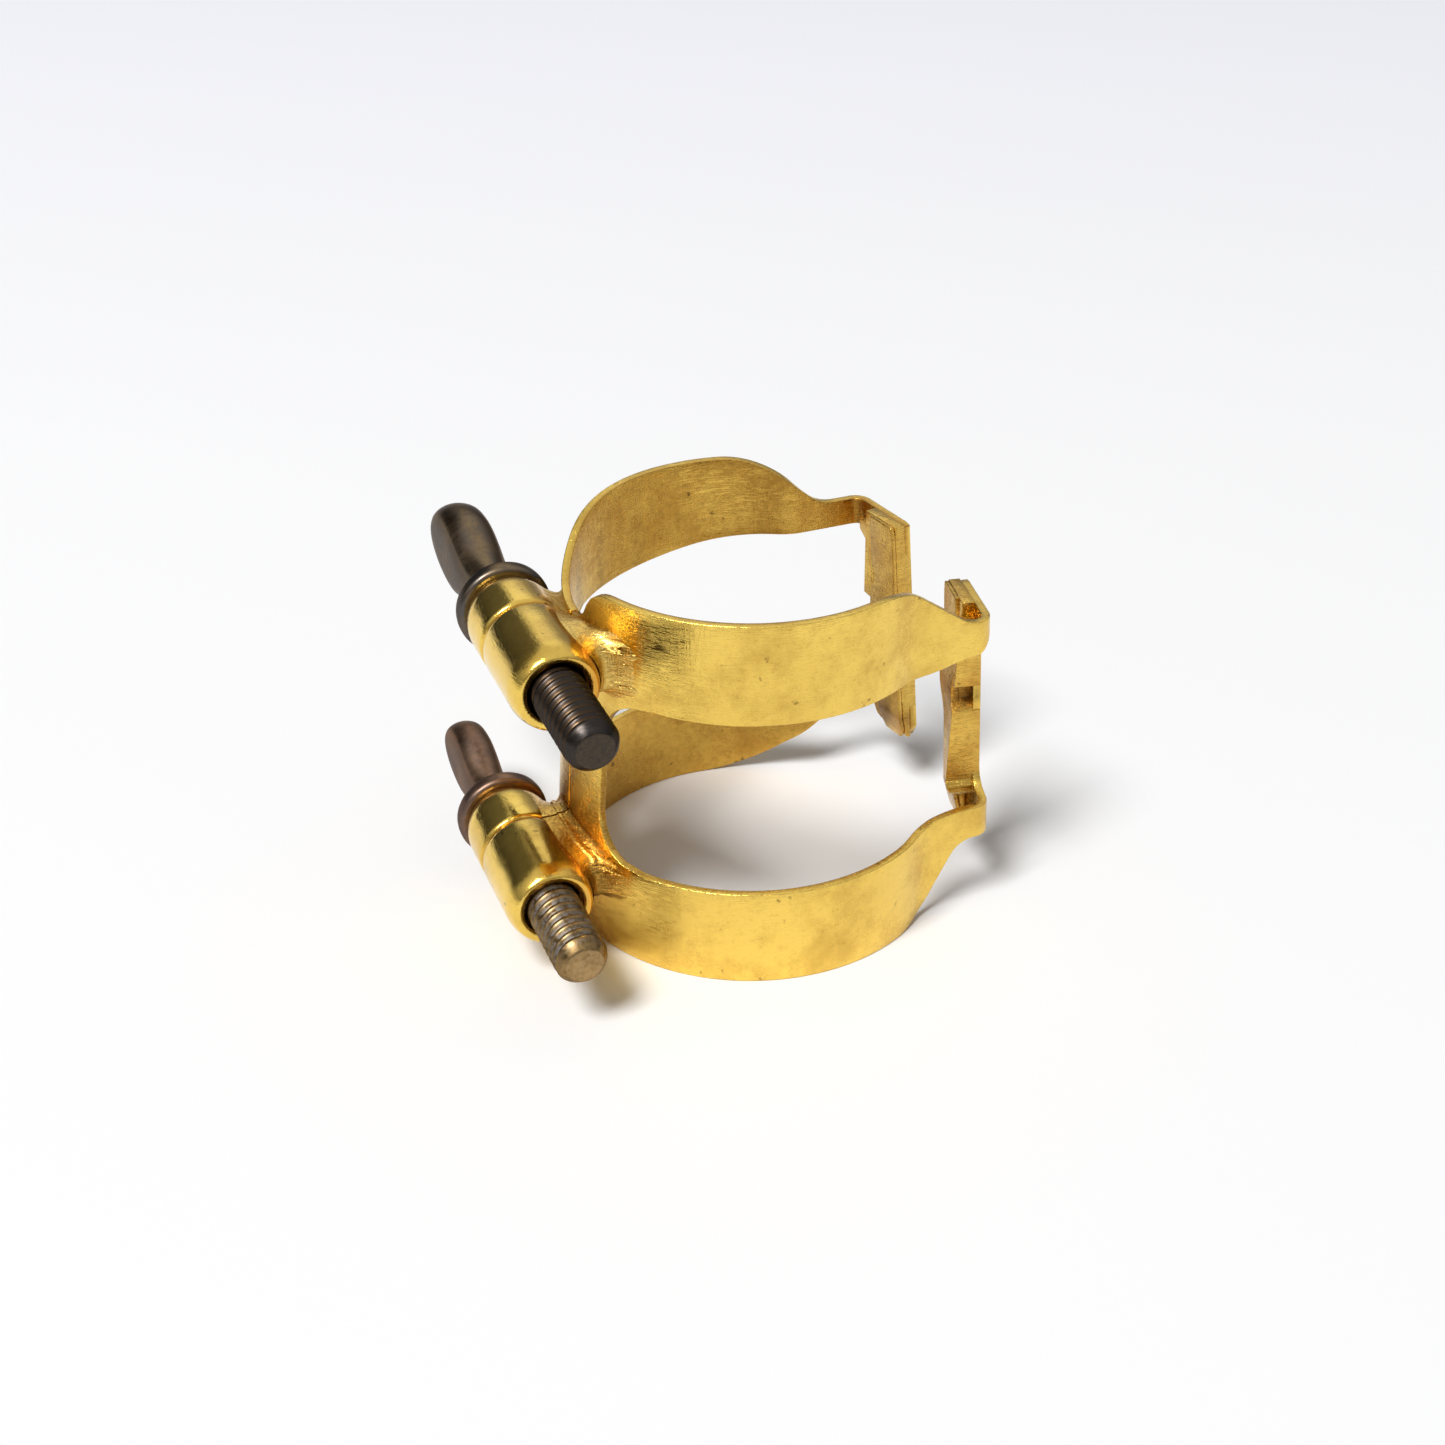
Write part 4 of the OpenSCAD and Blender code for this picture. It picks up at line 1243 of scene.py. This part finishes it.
def studio_world(scene):
    """A pale backdrop, soft light from above, and for the metal's gloss a brighter sky with one
    dark corner and one bright patch."""
    world = bpy.data.worlds.new("studio")
    scene.world = world
    world.use_nodes = True
    wt = world.node_tree
    wt.nodes.clear()
    out = wt.nodes.new("ShaderNodeOutputWorld")
    sky = wt.nodes.new("ShaderNodeBackground")
    sky.inputs["Color"].default_value = (0.97, 0.98, 1.0, 1)
    at = wt.nodes.new("ShaderNodeTexCoord").outputs["Generated"]
    split = wt.nodes.new("ShaderNodeSeparateXYZ")
    wt.links.new(at, split.inputs["Vector"])
    height = split.outputs["Z"]
    ray = wt.nodes.new("ShaderNodeLightPath")
    soft_level = spread(wt, height, 0.1, 0.8, 0.06, 0.30)
    corner = spread(wt, dot_of(wt, at, (-0.45, 0.79, 0.41)), 0.84, 0.91, 1.0, 0.20)
    clear_level = join(wt, "MULTIPLY", spread(wt, height, 0.0, 0.75, 0.14, 0.80), corner)
    patch = spread(wt, dot_of(wt, at, (0.25, 0.79, 0.56)), 0.95, 0.99, 0.0, 0.4)
    clear_level = join(wt, "ADD", clear_level, patch)
    wt.links.new(between(wt, ray.outputs["Is Glossy Ray"], soft_level, clear_level), sky.inputs["Strength"])
    plain = wt.nodes.new("ShaderNodeBackground")
    plain.inputs["Strength"].default_value = 0.97
    pick = wt.nodes.new("ShaderNodeMixShader")
    wt.links.new(ray.outputs["Is Camera Ray"], pick.inputs["Fac"])
    wt.links.new(sky.outputs["Background"], pick.inputs[1])
    wt.links.new(plain.outputs["Background"], pick.inputs[2])
    wt.links.new(pick.outputs["Shader"], out.inputs["Surface"])


def main_camera(scene):
    """The camera, turned towards the object from the left and above."""
    object_mode()
    bpy.ops.object.camera_add()
    camera = bpy.context.object
    camera.name = "camera"
    around, above, roll = math.radians(AROUND), math.radians(ABOVE), math.radians(ROLL)
    back = Vector((math.sin(around) * math.cos(above), -math.cos(around) * math.cos(above), math.sin(above)))
    right = Vector((math.cos(around), math.sin(around), 0))
    up = back.cross(right)
    tilted_right = right * math.cos(roll) + up * math.sin(roll)
    tilted_up = up * math.cos(roll) - right * math.sin(roll)
    place = Vector(AIM) * MM + back * DISTANCE * MM
    camera.matrix_world = Matrix((
        (tilted_right.x, tilted_up.x, back.x, place.x),
        (tilted_right.y, tilted_up.y, back.y, place.y),
        (tilted_right.z, tilted_up.z, back.z, place.z),
        (0, 0, 0, 1),
    ))
    camera.data.sensor_width = SENSOR_WIDTH
    camera.data.lens = FOCAL_LENGTH * SENSOR_WIDTH / FRAME_SIDE
    camera.data.clip_start = 0.005
    camera.data.clip_end = 10
    scene.camera = camera


class LIGATURE_OT_stage(bpy.types.Operator):
    """Build the table, the lamp, the world and the camera"""

    bl_idname = "ligature.stage"
    bl_label = "Stage"

    def execute(self, context):
        pale_table()
        key_lamp()
        studio_world(context.scene)
        main_camera(context.scene)
        context.scene.view_settings.view_transform = "Standard"
        return {"FINISHED"}


# ---------------------------------------------------------------- panel and registration

class LIGATURE_PT_panel(bpy.types.Panel):
    bl_label = "Ligature"
    bl_idname = "LIGATURE_PT_panel"
    bl_space_type = "VIEW_3D"
    bl_region_type = "UI"
    bl_category = "Ligature"

    def draw(self, context):
        for operator in OPERATORS:
            self.layout.operator(operator.bl_idname)
        for name in GROUPS:
            group = getattr(context.scene, name)
            column = self.layout.column()
            for setting in group.bl_rna.properties.keys():
                if setting not in ("rna_type", "name"):
                    column.prop(group, setting)


OPERATORS = (LIGATURE_OT_sheet_halves, LIGATURE_OT_barrels, LIGATURE_OT_solder, LIGATURE_OT_rails,
             LIGATURE_OT_thumb_screws, LIGATURE_OT_stage)
GROUPS = {"ligature_body": LigatureBody, "ligature_rails": LigatureRails,
          "ligature_barrels": LigatureBarrels, "ligature_screws": LigatureScrews,
          "ligature_finish": LigatureFinish}


def register():
    for cls in (*GROUPS.values(), *OPERATORS, LIGATURE_PT_panel):
        bpy.utils.register_class(cls)
    for name, cls in GROUPS.items():
        setattr(bpy.types.Scene, name, bpy.props.PointerProperty(type=cls))


def unregister():
    for name in GROUPS:
        delattr(bpy.types.Scene, name)
    for cls in (LIGATURE_PT_panel, *reversed(OPERATORS), *reversed(list(GROUPS.values()))):
        bpy.utils.unregister_class(cls)


def main():
    """Builds every piece in order."""
    register()
    bpy.ops.ligature.sheet_halves()
    bpy.ops.ligature.barrels()
    bpy.ops.ligature.solder()
    bpy.ops.ligature.rails()
    bpy.ops.ligature.thumb_screws()
    bpy.ops.ligature.stage()
    bpy.context.view_layer.update()


if __name__ == "__main__":
    main()
